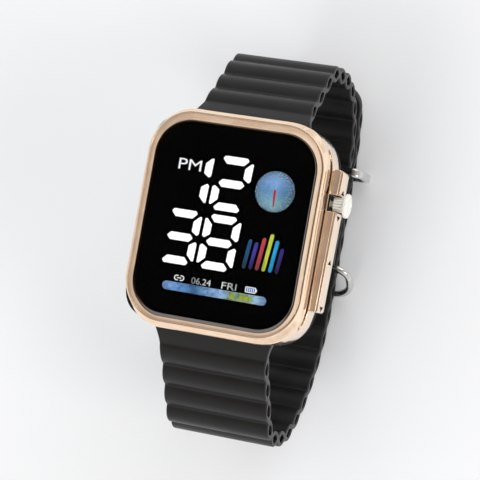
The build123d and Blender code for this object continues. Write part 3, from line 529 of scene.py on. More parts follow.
class WATCH_OT_case_frame(bpy.types.Operator):
    """Makes the plated frame with its crown guard rail"""
    bl_idname = "watch.case_frame"
    bl_label = "Plated frame and guard rail"

    def execute(self, context):
        gold = plated_gold()
        # Room for the strap's roots at both ends, and for the crown at the right.
        cutters = [
            box_mesh((-13, -23, 0), (13, -19.5, 6.1)), box_mesh((-13, 19.5, 0), (13, 23, 6.1)),
            box_mesh((17, 5.98, 1.65), (20.5, 9.22, 7.25)),
        ]
        mesh = cut(swept("bezel_shell", bezel_section), cutters)
        add_object("bezel_shell", mesh, gold, ["bezel_frame"], 28)
        self.rail(gold)
        return {"FINISHED"}

    def rail(self, gold):
        def edge(y):
            return RAIL_OUTER_FOOT + (RAIL_OUTER_TOP - RAIL_OUTER_FOOT) * (y - RAIL_FOOT) / RAIL_LENGTH

        # Two bars either side of the crown's notch, arched at the top end, with soft bright edges all round.
        spans = (
            (NOTCH_TOP, edge(NOTCH_TOP), RAIL_TOP, RAIL_OUTER_TOP, (0.2, 0.2, 0.85, 1.1)),
            (RAIL_FOOT, RAIL_OUTER_FOOT, NOTCH_FOOT, edge(NOTCH_FOOT), (0.45, 0.6, 0.2, 0.2)),
        )
        pieces = [box_mesh((18.3, foot, 1.85), (19.05, top, 6.2)) for foot, top in ((-13.3, 5.9), (9.3, 12.7))]
        # Each bar is a body with a slightly narrower cap, which leaves the fine line along its outer face.
        for foot, foot_edge, top, top_edge, radii in spans:
            for inset, low, high, edge_width in ((0.0, 1.75, 6.9, 0.06), (0.36, 6.6, 7.28, 0.24)):
                outer = [(foot_edge - inset, foot), (top_edge - inset, top)]
                shape = [(RAIL_INNER, foot)] + outer + [(RAIL_INNER, top)]
                outline = rounded(shape, [radius * (1 - inset) for radius in radii], 7)
                bar = linked("guard_rail", prism_mesh(metres(outline), low * MM, high * MM))
                bevel = bar.modifiers.new("edges", "BEVEL")
                bevel.width = edge_width * MM
                bevel.segments = 4
                bevel.limit_method = "ANGLE"
                bevel.angle_limit = math.radians(60)
                pieces.append(settled(bar))
        cutters, shade_fills = [], []
        for place, pointing in ((9.95, 1), (4.95, -1), (-3.85, 1), (-13.0, -1)):
            reach = edge(place)
            base = place - pointing * 0.42
            mark = metres([(base, 2.9), (base, 5.7), (place + pointing * 0.58, 4.3)])
            cutters.append(prism_mesh(mark, (reach - 0.6) * MM, (reach + 1) * MM, "X"))
            shade_fills.append(prism_mesh(mark, (reach - 0.62) * MM, (reach - 0.04) * MM, "X"))
        mesh = cut(joined("guard_rail", pieces), cutters)
        add_object("guard_rail", mesh, gold, (), 30)
        # Painted shade: each arrow hollow is filled nearly to its mouth with a near-black piece, so it shows as
        # a dark hollow.
        dark = surface(
            "arrow_hollow_painted_shade", "#030303", 0.7, (0.2 * MM, 0.2), (0.6, 0.8), Specular_IOR_Level=0.1
        )
        add_object("rail_marks_painted_shade", joined("rail_marks_painted_shade", shade_fills), dark, ())


class WATCH_OT_case_back(bpy.types.Operator):
    """Gives the black body, the steel back cover, its gasket and screws their materials"""
    bl_idname = "watch.case_back"
    bl_label = "Body, back cover and screws"

    def execute(self, context):
        # Moulded black ABS: an even satin skin with a faint spark-eroded texture.
        black = surface(
            "abs_black_moulded", "#060606", 0.5, (0.25 * MM, 0.25), (0.45, 0.6), Specular_IOR_Level=0.06
        )
        dress(black, "case_body")
        # Stainless steel, brushed in long lines across the cover: parallel scratches that stretch highlights.
        steel = surface(
            "stainless_steel_brushed", "#A9A9AA", 0.3, (0.3 * MM, 0.2, 0.01 * MM, 4.0, (0.05, 1, 1)),
            (0.22, 0.42), [(0.3, "#9C9C9E"), (0.7, "#B8B8B9")], Metallic=1.0,
        )
        dress(steel, "back_cover")
        # Turned and slotted screws of the same steel with a tighter grain: small crisp glints.
        turned = surface(
            "stainless_steel_turned", "#B4B4B4", 0.25, (0.15 * MM, 0.15, 0.01 * MM), (0.2, 0.35), Metallic=1.0
        )
        dress(turned, "back_screws", "spring_bar_tube_upper", "spring_bar_tube_lower")
        dress(turned, *("spring_bar_tip_%s_%s" % end for end in ENDS))
        # Moulded rubber: dark, soft and slightly dusty.
        rubber = surface("nitrile_rubber_moulded", "#0F0F10", 0.6, (0.12 * MM, 0.3), (0.5, 0.7))
        dress(rubber, "back_gasket", "crown_o_ring", "lens_adhesive")
        return {"FINISHED"}


class WATCH_OT_works(bpy.types.Operator):
    """Gives the board, cell, switch and other inner pieces their materials and makes the springs"""
    bl_idname = "watch.works"
    bl_label = "Works inside the case"

    def execute(self, context):
        # Solder mask on glass-fibre board: green lacquer with a faint weave underneath.
        board = surface(
            "solder_mask_lacquered", "#123F22", 0.3, (0.5 * MM, 0.1), (), [(0.35, "#0F381D"), (0.65, "#17492A")]
        )
        dress(board, "main_board")
        # Moulded white polycarbonate: bright, diffusing and slightly warm.
        white = surface(
            "polycarbonate_white_moulded", "#E6E5DF", 0.5, (0.4 * MM, 0.1), (),
            [(0.3, "#DFDED7"), (0.7, "#ECEBE6")], Subsurface_Weight=0.1,
        )
        dress(white, "led_chips", "light_guide")
        # Epoxy moulding compound: charcoal with a fine sandy finish.
        epoxy = surface("epoxy_black_moulded", "#1C1C1D", 0.6, (0.1 * MM, 0.3), (0.5, 0.7))
        dress(epoxy, "controller_chip", "switch_body", "switch_plunger", "movement_holder")
        # Nickel-plated steel can: bright with soft handling marks.
        nickel = surface("nickel_plate_drawn", "#BDB9B0", 0.25, (0.8 * MM, 0.1), (0.18, 0.35), Metallic=1.0)
        dress(nickel, "coin_cell", "quartz_crystal")
        # Spring steel strip: straw-grey with rolling lines.
        strip = surface(
            "spring_steel_rolled", "#A8A294", 0.3, (0.3 * MM, 0.15, 0.01 * MM, 3.0, (0.1, 1, 1)),
            (0.25, 0.4), Metallic=1.0,
        )
        dress(strip, "cell_contact_top", "cell_contact_side", "crown_clip")
        low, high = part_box("crown_spring")
        self.coil("crown_coil", "crown_spring", low.x, high.x, 5, strip, "crown_press", 0.5 * MM)
        for side, hand in ENDS:
            node_name = "spring_bar_spring_" + side
            low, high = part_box(node_name)
            end = low.x if hand == "left" else high.x
            name = "spring_bar_coil_%s_%s" % (side, hand)
            self.coil(name, node_name, 0.0, end, 16, strip, "tip_%s_%s_slide" % (side, hand), 1.3 * MM)
        return {"FINISHED"}

    def coil(self, name, node_name, start, end, turns, material, joint, travel):
        """A coil spring of 0.14 mm wire along X from start to end. Its joint and travel are not used."""
        wire = 0.07 * MM
        low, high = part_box(node_name)
        radius = (high.z - low.z) / 2 - wire
        inset = math.copysign(wire, end - start)
        steps = 12
        count = turns * steps
        points = []
        for i in range(count + 1):
            turn = 2 * math.pi * i / steps
            x = start + inset + (end - start - 2 * inset) * i / count
            y = (low.y + high.y) / 2 + radius * math.cos(turn)
            points.append((x, y, (low.z + high.z) / 2 + radius * math.sin(turn)))
        made = add_object(name, tube_mesh(name, points, wire), material, [node_name])
        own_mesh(made)


# Crystal and display
# How far the crystal's ground edge shows at each side, in millimetres: a satin edge, drawn wider at the bottom
# and right as a painted highlight.
EDGE_HIGHLIGHT_REACH = {"right": 0.08, "top": 0.02, "left": 0.02, "bottom": 0.52}


class WATCH_OT_crystal(bpy.types.Operator):
    """Makes the clear crystal with its ground edge and the case's black shoulder, and inks the mask"""
    bl_idname = "watch.crystal"
    bl_label = "Crystal and mask"

    def execute(self, context):
        # Coated crystal: nearly invisible over the black mask; the thin bright line at its bevel is the ground
        # edge below, partly a painted highlight.
        glass = surface(
            "crystal_glass_coated", "#FFFFFF", 0.0, (9 * MM, 0.0, 0.01 * MM, 1.0), (0.0, 0.02),
            Transmission_Weight=1.0, IOR=1.12,
        )
        top = context.scene.watch_case.face_height
        room = 0.06 * MM
        outline = [(x - room * ox, y - room * oy) for x, y, ox, oy in window_path()]
        mesh = prism_mesh(outline, top - 0.97 * MM, top, name="crystal")
        add_object("crystal", mesh, glass, ["lens"], 20)

        def edge_section(out_x, out_y):
            reach = sum(share ** 3 * EDGE_HIGHLIGHT_REACH[side] for side, share in side_shares(out_x, out_y).items())
            return [(-0.05, -0.15), (reach, -0.2), (reach, -0.12), (-0.05, 0.0)]

        # Ground edge of the crystal: a satin grey line where the clear face stops, widest at the bottom, where
        # the extra width is a painted highlight.
        ground = surface(
            "crystal_edge_ground_and_highlight", "#6E6C6B", 0.4, (0.1 * MM, 0.2), (0.35, 0.5),
            [(0.3, "#5E5C5C"), (0.7, "#747170")],
        )
        add_object("crystal_edge", swept("crystal_edge", edge_section), ground, (), 20)
        # Back-printed ink: deep even black.
        ink = surface(
            "printing_ink_black", "#010102", 0.5, (0.2 * MM, 0.05), (0.45, 0.55), Specular_IOR_Level=0.0
        )
        dress(ink, "display_mask")

        def shoulder_section(out_x, out_y):
            reach = 1.45
            if out_x < 0:
                reach += (1.1 if out_y < 0 else 0.75) * (2 * out_x * out_y) ** 2
            return oblong(1.0, -2.4, reach, -1.1)

        # The black body's shoulder shows as a dark sliver outside the plating at the left-hand corners.
        skin = surface(
            "abs_black_shoulder", "#050505", 0.5, (0.2 * MM, 0.1), (0.45, 0.6), Specular_IOR_Level=0.1
        )
        add_object("case_shoulder", swept("case_shoulder", shoulder_section), skin, (), 30)
        return {"FINISHED"}


def lit_material(name, colour, strength):
    """Light seen through a white diffuser film."""
    return shader(name, "#0A0A0A", 0.5, Emission_Color=linear(colour), Emission_Strength=strength)


def lit_print(name, colour, strength):
    """The same film with a thin skin of printed ink."""
    material = lit_material(name, colour, strength)
    grain(material, 0.3 * MM, 0.05)
    return material


def place_of(tree):
    """The point on the surface in metres, and its X and Y."""
    where = node(tree, "TexCoord").outputs["Object"]
    parts = node(tree, "SeparateXYZ", where).outputs
    return where, parts["X"], parts["Y"]


# The compass's middle and radius, the slope of the colour bars and their pitch in millimetres.
COMPASS_X, COMPASS_Y, COMPASS_RADIUS = 8.9 * MM, 7.85 * MM, 4.0 * MM
BAR_LEAN = math.tan(math.radians(5.5))
BAR_PITCH = 1.34


class WATCH_OT_lit_windows(bpy.types.Operator):
    """Gives the lit digits, compass, colour bars and long bar their glow"""
    bl_idname = "watch.lit_windows"
    bl_label = "Lit windows"

    def execute(self, context):
        settings = context.scene.watch_display
        dress(lit_print("diffuser_film_lit", settings.lit, settings.glow), "digit_segments")
        dress(self.compass(), "compass_disc")
        dress(self.hand(), "compass_hand")
        dress(self.bars(), "colour_bars")
        dress(self.long_bar(), "gradient_bar")
        return {"FINISHED"}

    def hand(self):
        # Red ink on the lit film: deep along the middle, pale at its edges and brighter towards the tip.
        material = lit_material("printed_film_red", "#C21322", 0.9)
        tree = material.node_tree
        where, x, y = place_of(tree)
        aside = maths(tree, "ABSOLUTE", maths(tree, "SUBTRACT", x, COMPASS_X))
        away = spread(tree, aside, 0.08 * MM, 0.26 * MM)
        drive(
            material, Emission_Strength=spread(tree, y, 4.4 * MM, 8.2 * MM, 0.55, 0.95),
            Emission_Color=ramp(tree, away, [(0.0, "#A3121F"), (0.55, "#B8202C"), (1.0, "#DF8288")]),
        )
        return material

    def compass(self):
        # Printed film lit from behind: pale blue in the middle, deeper and mottled towards the rim.
        material = lit_material("printed_film_compass", "#6F9BCB", 0.95)
        tree = material.node_tree
        where = place_of(tree)[0]
        centre = vectors(tree, "SUBTRACT", where, (COMPASS_X, COMPASS_Y, 10 * MM))
        flat = vectors(tree, "MULTIPLY", centre, (1, 1, 0))
        far = node(tree, "VectorMath", flat, operation="LENGTH").outputs["Value"]
        rim = spread(tree, far, 0.0, COMPASS_RADIUS)
        split = node(tree, "SeparateXYZ", flat).outputs
        fall = ramp(tree, spread(tree, split["Y"], -COMPASS_RADIUS, COMPASS_RADIUS), [
            (0.0, "#8FBCCC"), (0.25, "#86B9CA"), (0.48, "#6CA2CC"), (0.72, "#8AB4EC"), (1.0, "#74A2CC"),
        ])
        shadow = ramp(tree, rim, [(0.0, "#FFFFFF"), (0.6, "#F4F4F4"), (0.92, "#C4CACE"), (1.0, "#7A8086")])
        specks = speckle(tree, where, 0.55 * MM, 4.0, Roughness=0.7)
        mottle = ramp(tree, specks, [(0.35, "#DCE0E4"), (0.62, "#FFFFFF")])
        wash = ramp(tree, spread(tree, split["X"], -COMPASS_RADIUS, COMPASS_RADIUS), [
            (0.0, "#C4D2DC"), (0.25, "#E4ECF2"), (0.5, "#FFFFFF"), (0.8, "#B6C6CE"), (1.0, "#8E9EA6"),
        ])
        printed = multiply(tree, fall, shadow, mottle, wash)
        # Fine pale dots, 0.22 mm apart, gather towards the rim.
        bright = spread(tree, speckle(tree, where, 0.22 * MM, 2.0), 0.56, 0.66, 0.0, 0.8)
        share = maths(tree, "MULTIPLY", bright, spread(tree, rim, 0.5, 0.75))
        drive(material, Emission_Color=mix(tree, share, printed, linear("#CFEAF2")))
        return material

    def bars(self):
        # Six inks side by side on one film, each bright at its top and sinking towards its foot.
        material = lit_material("printed_film_colours", "#FFFFFF", 1.0)
        tree = material.node_tree
        where, x, y = place_of(tree)
        upright = maths(tree, "MULTIPLY_ADD", y, -BAR_LEAN, x)
        first = 5.25 * MM + 7.8 * MM * BAR_LEAN - BAR_PITCH / 2 * MM
        across = spread(tree, upright, first, first + 6 * BAR_PITCH * MM)
        tops, feet = (
            ramp(tree, across, [(i / 6, colour) for i, colour in enumerate(colours)], "CONSTANT")
            for colours in (
                ("#12507C", "#3A3299", "#C03C4A", "#C6D23C", "#15A4DE", "#2A1F72"),
                ("#082B3A", "#120D38", "#6E2A34", "#A9B83E", "#0B86B4", "#100B3C"),
            )
        )
        inks = mix(tree, spread(tree, y, -8.0 * MM, -4.2 * MM), feet, tops)
        # Print streaks 0.16 mm apart run up each bar.
        streaks = speckle(tree, vectors(tree, "MULTIPLY", where, (1, 0.12, 1)), 0.16 * MM, 1.0)
        pale = ramp(tree, streaks, [(0.35, "#D2D2D2"), (0.6, "#FFFFFF")])
        drive(material, Emission_Color=multiply(tree, inks, pale))
        return material

    def long_bar(self):
        # A soft picture strip: slate blue that clears to pale blue and turns olive near its right end.
        material = lit_material("printed_film_strip", "#FFFFFF", 0.95)
        tree = material.node_tree
        where, x, y = place_of(tree)
        colours = ramp(tree, spread(tree, x, -10.8 * MM, 10.8 * MM), [
            (0.0, "#4E6F9C"), (0.06, "#7BA3DA"), (0.2, "#5F93CE"), (0.33, "#2F5F8C"), (0.42, "#6C9CC8"),
            (0.58, "#97B9E6"), (0.66, "#7E9C8C"), (0.8, "#8FA86E"), (0.9, "#9CC0DA"), (1.0, "#6E95BC"),
        ])
        mottle = ramp(tree, speckle(tree, where, 0.8 * MM, 3.0), [(0.35, "#B4BAC0"), (0.6, "#FFFFFF")])
        drive(material, Emission_Color=multiply(tree, colours, mottle))
        return material


PRINT_LEVEL = 10.008 * MM


class WATCH_OT_icons(bpy.types.Operator):
    """Makes the small lit words and icons over the mask"""
    bl_idname = "watch.icons"
    bl_label = "Words and icons"

    def execute(self, context):
        settings = context.scene.watch_display
        # Printed films in white, olive and blue: flat even light with hard edges.
        bright = lit_print("printed_film_white", "#F4F6F8", 0.95)
        olive = lit_print("printed_film_olive", "#9CA814", 0.9)
        self.word("word_half_day", "PM", -9.1, 10.6, 2.15, 4.75, bright)
        self.word("word_date", settings.date, -2.67, -11.8, 1.25, 4.0, self.fading(-4.8, -0.9, 0.2, 0.85))
        self.word("word_weekday", settings.weekday, 3.1, -11.77, 1.3, 3.05, self.fading(1.6, 4.6, 0.85, 0.4))
        self.link(bright)
        self.battery(bright, lit_print("printed_film_blue", "#5878C4", 0.8))
        shapes = [rounded([(3.35, -14.1), (4.6, -14.1), (3.97, -12.9)], 0.12, 3)]
        for x, width in ((5.5, 0.7), (6.4, 0.9), (7.5, 0.6)):
            shapes.append(rounded(oblong(x, -14.0, x + width, -13.2), 0.15, 3))
        self.shapes("picture_marks", shapes, olive)
        return {"FINISHED"}

    def word(self, name, text, x, y, height, width, material):
        """Letters centred on a point and stretched to a height and width, in millimetres."""
        curve = bpy.data.curves.new(name, "FONT")
        curve.body = text
        curve.size = 1.0
        mesh = settled(linked(name, curve))
        xs = [v.co.x for v in mesh.vertices]
        ys = [v.co.y for v in mesh.vertices]
        scale_x = width * MM / (max(xs) - min(xs))
        scale_y = height * MM / (max(ys) - min(ys))
        middle_x = (max(xs) + min(xs)) / 2
        middle_y = (max(ys) + min(ys)) / 2
        for v in mesh.vertices:
            v.co = ((v.co.x - middle_x) * scale_x + x * MM, (v.co.y - middle_y) * scale_y + y * MM, PRINT_LEVEL)
        add_object(name, mesh, material)

    def fading(self, start, stop, first, last):
        # The same white film with the light falling off along the word.
        material = lit_material("printed_film_fading", "#E4E8EA", 1.0)
        tree = material.node_tree
        drive(material, Emission_Strength=spread(tree, place_of(tree)[1], start * MM, stop * MM, first, last))
        return material

    def shapes(self, name, outlines, material, points=(), faces=(), level=PRINT_LEVEL):
        """Flat outlines in millimetres, added to the points and faces given, as one piece."""
        points, faces = list(points), list(faces)
        for outline in outlines:
            faces.append(tuple(range(len(points), len(points) + len(outline))))
            points += outline
        add_object(name, mesh_from(name, [(x * MM, y * MM, level) for x, y in points], faces), material)

    def link(self, material):
        # Two open loops that face each other, with a short bar between them.
        x, y, half, outer, inner, gap = -7.25, -11.76, 1.05, 0.54, 0.36, 0.2
        points, faces = [], []
        for side in (-1, 1):
            first = len(points)
            for radius in (outer, inner):
                turns = [math.radians(90 - 15 * step) for step in range(13)]
                arc = [(half - outer + radius * math.cos(turn), radius * math.sin(turn)) for turn in turns]
                loop = [(gap, radius)] + arc + [(gap, -radius)]
                points += [(x + side * u, y + v) for u, v in loop]
            count = len(loop)
            faces += [(i, i + 1, count + i + 1, count + i) for i in range(first, first + count - 1)]
        half, radius, steps = 0.46, 0.09, 8
        bar = []
        for side, start in ((1, -90), (-1, 90)):
            for step in range(steps + 1):
                turn = math.radians(start + 180 * step / steps)
                bar.append((x + side * (half - radius) + radius * math.cos(turn), y + radius * math.sin(turn)))
        self.shapes("icon_link", [bar], material, points, faces)

    def battery(self, material, fill):
        outer = rounded(oblong(6.4, -12.35, 8.62, -11.2), 0.22, 4)
        inner = rounded(oblong(6.57, -12.18, 8.45, -11.37), 0.1, 4)
        parts = [oblong(start, -12.07, start + 0.14, -11.48) for start in (6.86, 7.26, 7.66, 8.06)]
        parts.append(oblong(8.64, -12.0, 8.82, -11.55))
        self.shapes("icon_battery", parts, material, outer + inner, side_faces(len(outer)))
        self.shapes("icon_battery_fill", [inner], fill, level=PRINT_LEVEL - 0.003 * MM)


# Crown
CROWN_GROOVES = 16
# The crown's outline as (distance along X, radius) in millimetres: neck, shoulder, rim and dished face.
CROWN_PROFILE = (
    (0.0, 0.0), (0.0, 1.2), (0.12, 1.5), (0.5, 1.5), (1.6, 1.5), (2.15, 1.5), (2.15, 2.05), (2.25, 2.28),
    (2.42, 2.4), (2.8, 2.4), (2.98, 2.3), (3.1, 2.05), (3.1, 1.72), (2.96, 1.64), (2.96, 0.0),
)


class WATCH_OT_crown(bpy.types.Operator):
    """Makes the blasted crown with its knurled neck and dished head"""
    bl_idname = "watch.crown"
    bl_label = "Crown"

    def execute(self, context):
        # Bead-blasted stainless steel, lightly tumbled: the pits scatter, so it reads soft, bright and warm.
        steel = surface(
            "stainless_steel_bead_blasted", "#EFEFE8", 0.3, (0.6 * MM, 0.08, 0.02 * MM), (0.24, 0.36),
            Metallic=0.18,
        )
        low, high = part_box("crown_knob")
        centre = (low + high) / 2
        start = low.x
        mesh = lathe("crown_head", [(start + x * MM, r * MM) for x, r in CROWN_PROFILE], centre, 216)
        for vertex in mesh.vertices:
            along = (vertex.co.x - start) / MM
            flat = Vector((0, vertex.co.y - centre.y, vertex.co.z - centre.z))
            radius = flat.length / MM
            wave = max(0.0, math.cos(CROWN_GROOVES * math.atan2(flat.z, flat.y)))
            if 0.1 < along < 2.16 and 1.4 < radius < 1.52:
                flat *= 1 - 0.24 * wave ** 6
            elif 2.3 < along < 2.9 and radius > 2.25:
                flat *= 1 - 0.02 * wave
            vertex.co.y, vertex.co.z = centre.y + flat.y, centre.z + flat.z
        add_object("crown_head", mesh, steel, ["crown_knob"], 40, body="crown")
        dress(steel, "crown_stem")
        # Steel tube under black oxide: a dark dry skin that hides it inside the notch.
        dark = surface("steel_black_oxide", "#0C0C0D", 0.5, (0.3 * MM, 0.1), (0.45, 0.6), Metallic=0.5)
        dress(dark, "crown_tube")
        return {"FINISHED"}


# Strap, in millimetres: the spring bar's axis, the waves' pitch, the first crest, the half thickness at the
# crests and valleys, the half length and half height of the hollow through each wave, and the flared root.
SPRING_BAR = (19.5, 3.9)
WAVE = 5.5
FIRST_CREST = 7.9
CREST = 1.7
VALLEY = 0.9
HOLLOW = (1.65, 0.9)
ROOT_HALF = 12.8
ROOT_START, ROOT_LENGTH, ROOT_END = 1.2, 8.2, 9.4


class Route:
    """A line in the YZ plane, in millimetres, made of straight runs and tangent arcs."""

    def __init__(self, side, heading):
        self.side, self.angle = side, heading
        self.y, self.z = SPRING_BAR
        self.length = 0.0
        self.spans = []

    def run(self, length):
        self.spans.append((self.length, self.y, self.z, self.angle, 0.0))
        turn = math.radians(self.angle)
        self.y += length * math.cos(turn)
        self.z -= length * math.sin(turn)
        self.length += length

    def bend(self, radius, turn):
        self.spans.append((self.length, self.y, self.z, self.angle, radius))
        old, new = math.radians(self.angle), math.radians(self.angle + turn)
        self.y += radius * (math.sin(new) - math.sin(old))
        self.z -= radius * (math.cos(old) - math.cos(new))
        self.angle += turn
        self.length += radius * math.radians(turn)

    def point(self, distance, offset=0.0):
        """Y and Z at a distance along the line and an offset out from it."""
        for start, y, z, angle, radius in reversed(self.spans):
            if distance >= start:
                break
        along = distance - start
        turn = old = math.radians(angle)
        if radius:
            turn = old + along / radius
            y += radius * (math.sin(turn) - math.sin(old))
            z -= radius * (math.cos(old) - math.cos(turn))
        else:
            y += along * math.cos(old)
            z -= along * math.sin(old)
        return self.side * (y + offset * math.sin(turn)), z + offset * math.cos(turn)


def loop_route(side, heading, slope, root_bend, side_bend, reach, backs, level):
    """A strap half's line: out and down to reach, straight down, then round by the bends in backs to level."""
    route = Route(side, heading)
    route.bend(root_bend, slope - heading)
    left = reach - route.y - side_bend * (1 - math.sin(math.radians(slope)))
    route.run(left / math.cos(math.radians(slope)))
    route.bend(side_bend, 90 - slope)
    turned, fall = 90, 0
    for radius, turn in backs:
        fall += radius * (math.sin(math.radians(turned + turn - 90)) - math.sin(math.radians(turned - 90)))
        turned += turn
    route.run(route.z - fall - level)
    for radius, turn in backs:
        route.bend(radius, turn)
    return route


def silicone():
    """Moulded matt silicone: near-black, with broad dull highlights on the crests and a fine skin grain."""
    colour = bpy.context.scene.watch_strap.colour
    material = shader("silicone_rubber_matt", colour, 0.42, Specular_IOR_Level=0.34)
    tree = material.node_tree
    # The skin grain is drawn at 0.12 mm, coarser than the real one, so that it shows.
    grain(material, 0.12 * MM, 0.2, 0.01 * MM, 4.0)
    cloud = speckle(tree, tree.nodes["Texture Coordinate"].outputs["Object"], 6 * MM, 3.0)
    drive(
        material, Roughness=spread(tree, cloud, 0.3, 0.7, 0.35, 0.44),
        Base_Color=ramp(tree, cloud, [(0.3, "#0F0F0F"), (0.7, "#151515")]),
    )
    return material


def strap_mesh(name, route, last, half, rim, tip_corner):
    """One strap half: rows of convex waves with a lens-shaped hollow through each, and rounded side edges."""
    smooth = 0.86
    floor_value = 1 - smooth
    root_end = FIRST_CREST - WAVE / 2
    count = int((last - FIRST_CREST - WAVE / 2) / WAVE + 1e-6) + 1
    waves_end = FIRST_CREST + (count - 1) * WAVE + WAVE / 2

    def swell(distance):
        """Half thickness of the strap."""
        if distance < root_end:
            share = distance / root_end
            return VALLEY + (CREST - VALLEY) * (1 - share * share * (3 - 2 * share))
        if distance > waves_end:
            return VALLEY
        u = abs(((distance - FIRST_CREST) / WAVE + 0.5) % 1.0 - 0.5) * 2
        value = 1 - u * u if u < smooth else floor_value + smooth / (1 - smooth) * (1 - u) ** 2
        return VALLEY + (CREST - VALLEY) * (value - floor_value) / (1 - floor_value)

    def hollow(distance):
        """Half height of the hollow, or nothing between two of them."""
        nearest = round((distance - FIRST_CREST) / WAVE)
        centre = FIRST_CREST + nearest * WAVE
        if nearest < 0 or centre + WAVE / 2 > waves_end + 1e-6:
            return 0.0
        share = abs(distance - centre) / HOLLOW[0]
        return HOLLOW[1] * (1 - share * share) if share < 1 else 0.0

    def half_width(distance):
        wide = half
        if distance < ROOT_END:
            share = min(max((distance - ROOT_START) / ROOT_LENGTH, 0.0), 1.0) ** 0.75
            wide = ROOT_HALF + (half - ROOT_HALF) * (1 - (1 - share) ** 2)
        left = last - distance
        if tip_corner and left < tip_corner:
            wide = half - tip_corner + math.sqrt(max(tip_corner ** 2 - (tip_corner - left) ** 2, 0.0))
        return wide

    stations = [i * 0.5 for i in range(int(root_end / 0.5) + 1)]
    steps = [-2.75, -2.6, -2.45, -2.3, -2.1, -1.9, -HOLLOW[0], -1.5, -1.3, -1.0, -0.7, -0.35]
    for index in range(count):
        centre = FIRST_CREST + index * WAVE
        stations += [centre + s for s in steps] + [centre] + [centre - s for s in reversed(steps[1:])]
    stations += [waves_end + (last - waves_end) * i / 6 for i in range(7)]
    stations = sorted(set(round(s, 4) for s in stations if s <= last + 1e-6))
    rims = [(rim, 0.0), (rim * 0.5, rim * 0.134), (rim * 0.134, rim * 0.5), (0.0, rim)]
    rows = [(-1, inset, drop) for inset, drop in reversed(rims)] + [(1, inset, drop) for inset, drop in rims]
    points, faces, index_of = [], [], {}

    def vertex(station, row, kind):
        key = (station, row, kind)
        if key not in index_of:
            distance = stations[station]
            side, inset, drop = rows[row]
            outer = max(swell(distance) - drop, 0.25)
            inner = hollow(distance)
            if inner > 0:
                inner = min(inner + drop * 0.6, outer - 0.1)
            offsets = {"top": outer, "bottom": -outer, "hole_top": inner, "hole_bottom": -inner, "middle": 0.0}
            x = side * (half_width(distance) - inset)
            y, z = route.point(distance, offsets[kind])
            index_of[key] = len(points)
            points.append((x * MM, y * MM, z * MM))
        return index_of[key]

    def face(*corners):
        faces.append(tuple(vertex(*corner) for corner in corners))

    def sheets(s, layers):
        """Faces across the strap between two stations, for layers given by their kinds at both."""
        for r in range(width - 1):
            for kind, next_kind in layers:
                face((s, r, kind), (s + 1, r, next_kind), (s + 1, r + 1, next_kind), (s, r + 1, kind))

    width = len(rows)
    skins = ("top", "bottom")
    for s in range(len(stations) - 1):
        sheets(s, [(skin, skin) for skin in skins])
        holed = [hollow(stations[s + next_one]) > 0 for next_one in (0, 1)]
        linings = [tuple("hole_" + skin if hole else "middle" for hole in holed) for skin in skins]
        if any(holed):
            sheets(s, linings)
        for r in (0, width - 1):
            for skin, (kind, next_kind) in zip(skins, linings):
                face((s, r, skin), (s + 1, r, skin), (s + 1, r, next_kind), (s, r, kind))
    for s in (0, len(stations) - 1):
        for r in range(width - 1):
            face((s, r, "top"), (s, r + 1, "top"), (s, r + 1, "bottom"), (s, r, "bottom"))
    return mesh_from(name, points, faces)


class WATCH_OT_strap(bpy.types.Operator):
    """Makes both halves of the wave strap"""
    bl_idname = "watch.strap"
    bl_label = "Wave strap"

    def execute(self, context):
        settings = context.scene.watch_strap
        rubber = silicone()
        half = settings.width / MM / 2
        rim = settings.rim / MM
        low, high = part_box("buckle_pin")
        pin_y = (low.y + high.y) / 2 / MM
        upper = loop_route(1, 12.0, 48.0, 8.0, 13.0, 36.4, [(16.5, 90)], -39.9)
        upper.run(upper.y - pin_y)
        # The upper half stops just short of the pin's middle, inside the buckle.
        mesh = strap_mesh("strap_half_upper", upper, upper.length - 0.85, half, rim, 0.0)
        add_object("strap_half_upper", mesh, rubber, ["strap_upper"], 50)
        lower = loop_route(-1, 0.0, 41.0, 9.0, 10.0, 40.6, [(14.0, 30), (33.0, 60)], -44.1)
        lower.run(19.0 + lower.y)
        lower.bend(30.0, 38.0)
        mesh = strap_mesh("strap_half_lower", lower, lower.length, half, rim, 5.0)
        # Seven slots for the tang, one in each valley from the twelfth on.
        cutters = []
        for index in range(11, 18):
            y, z = lower.point(FIRST_CREST + (index + 0.5) * WAVE)
            slot = rounded(oblong(-1.25, y - 2.0, 1.25, y + 2.0), 0.3, 5)
            cutters.append(prism_mesh(metres(slot), (z - 4.0) * MM, (z + 4.0) * MM))
        mesh = cut(mesh, cutters)
        add_object("strap_half_lower", mesh, rubber, ["strap_lower"], 50)
        return {"FINISHED"}


# Clasp
class WATCH_OT_clasp(bpy.types.Operator):
    """Dresses the buckle ring, tang and keeper loop and makes the pin"""
    bl_idname = "watch.clasp"
    bl_label = "Buckle and keeper"

    def execute(self, context):
        # Polished stainless steel: a clean mirror with faint wear haze.
        steel = surface(
            "stainless_steel_polished", context.scene.watch_clasp.colour, 0.12, (1.2 * MM, 0.05, 0.02 * MM),
            (0.08, 0.18), Metallic=1.0,
        )
        dress(steel, "buckle_ring", "buckle_tang", "keeper_loop")
        # The ring turns round the pin's ends, so the pin is slimmer and shorter than the ring's sockets.
        low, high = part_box("buckle_pin")
        room = 0.03 * MM
        radius = (high.z - low.z) / 2 - room
        mesh = lathe("clasp_pin", [(low.x + room, radius), (high.x - room, radius)], (low + high) / 2, 32)
        add_object("clasp_pin", mesh, steel, ["buckle_pin"])
        return {"FINISHED"}


# Stage: each lamp's place, size, share of the key light's power and colour.
LAMPS = (
    ("key_light", (-0.25, -0.95, 1.15), 0.6, 0.8, "#FFFFFF"),
    ("back_light", (0.55, 0.95, 0.7), 0.6, 0.5, "#F8FBFF"),
    ("side_light", (1.0, -0.25, 0.75), 0.5, 0.8, "#FFFCF8"),
)
LAMP_TARGET = Vector((0, 0, -0.015))
FLOOR_HALF = 3.0
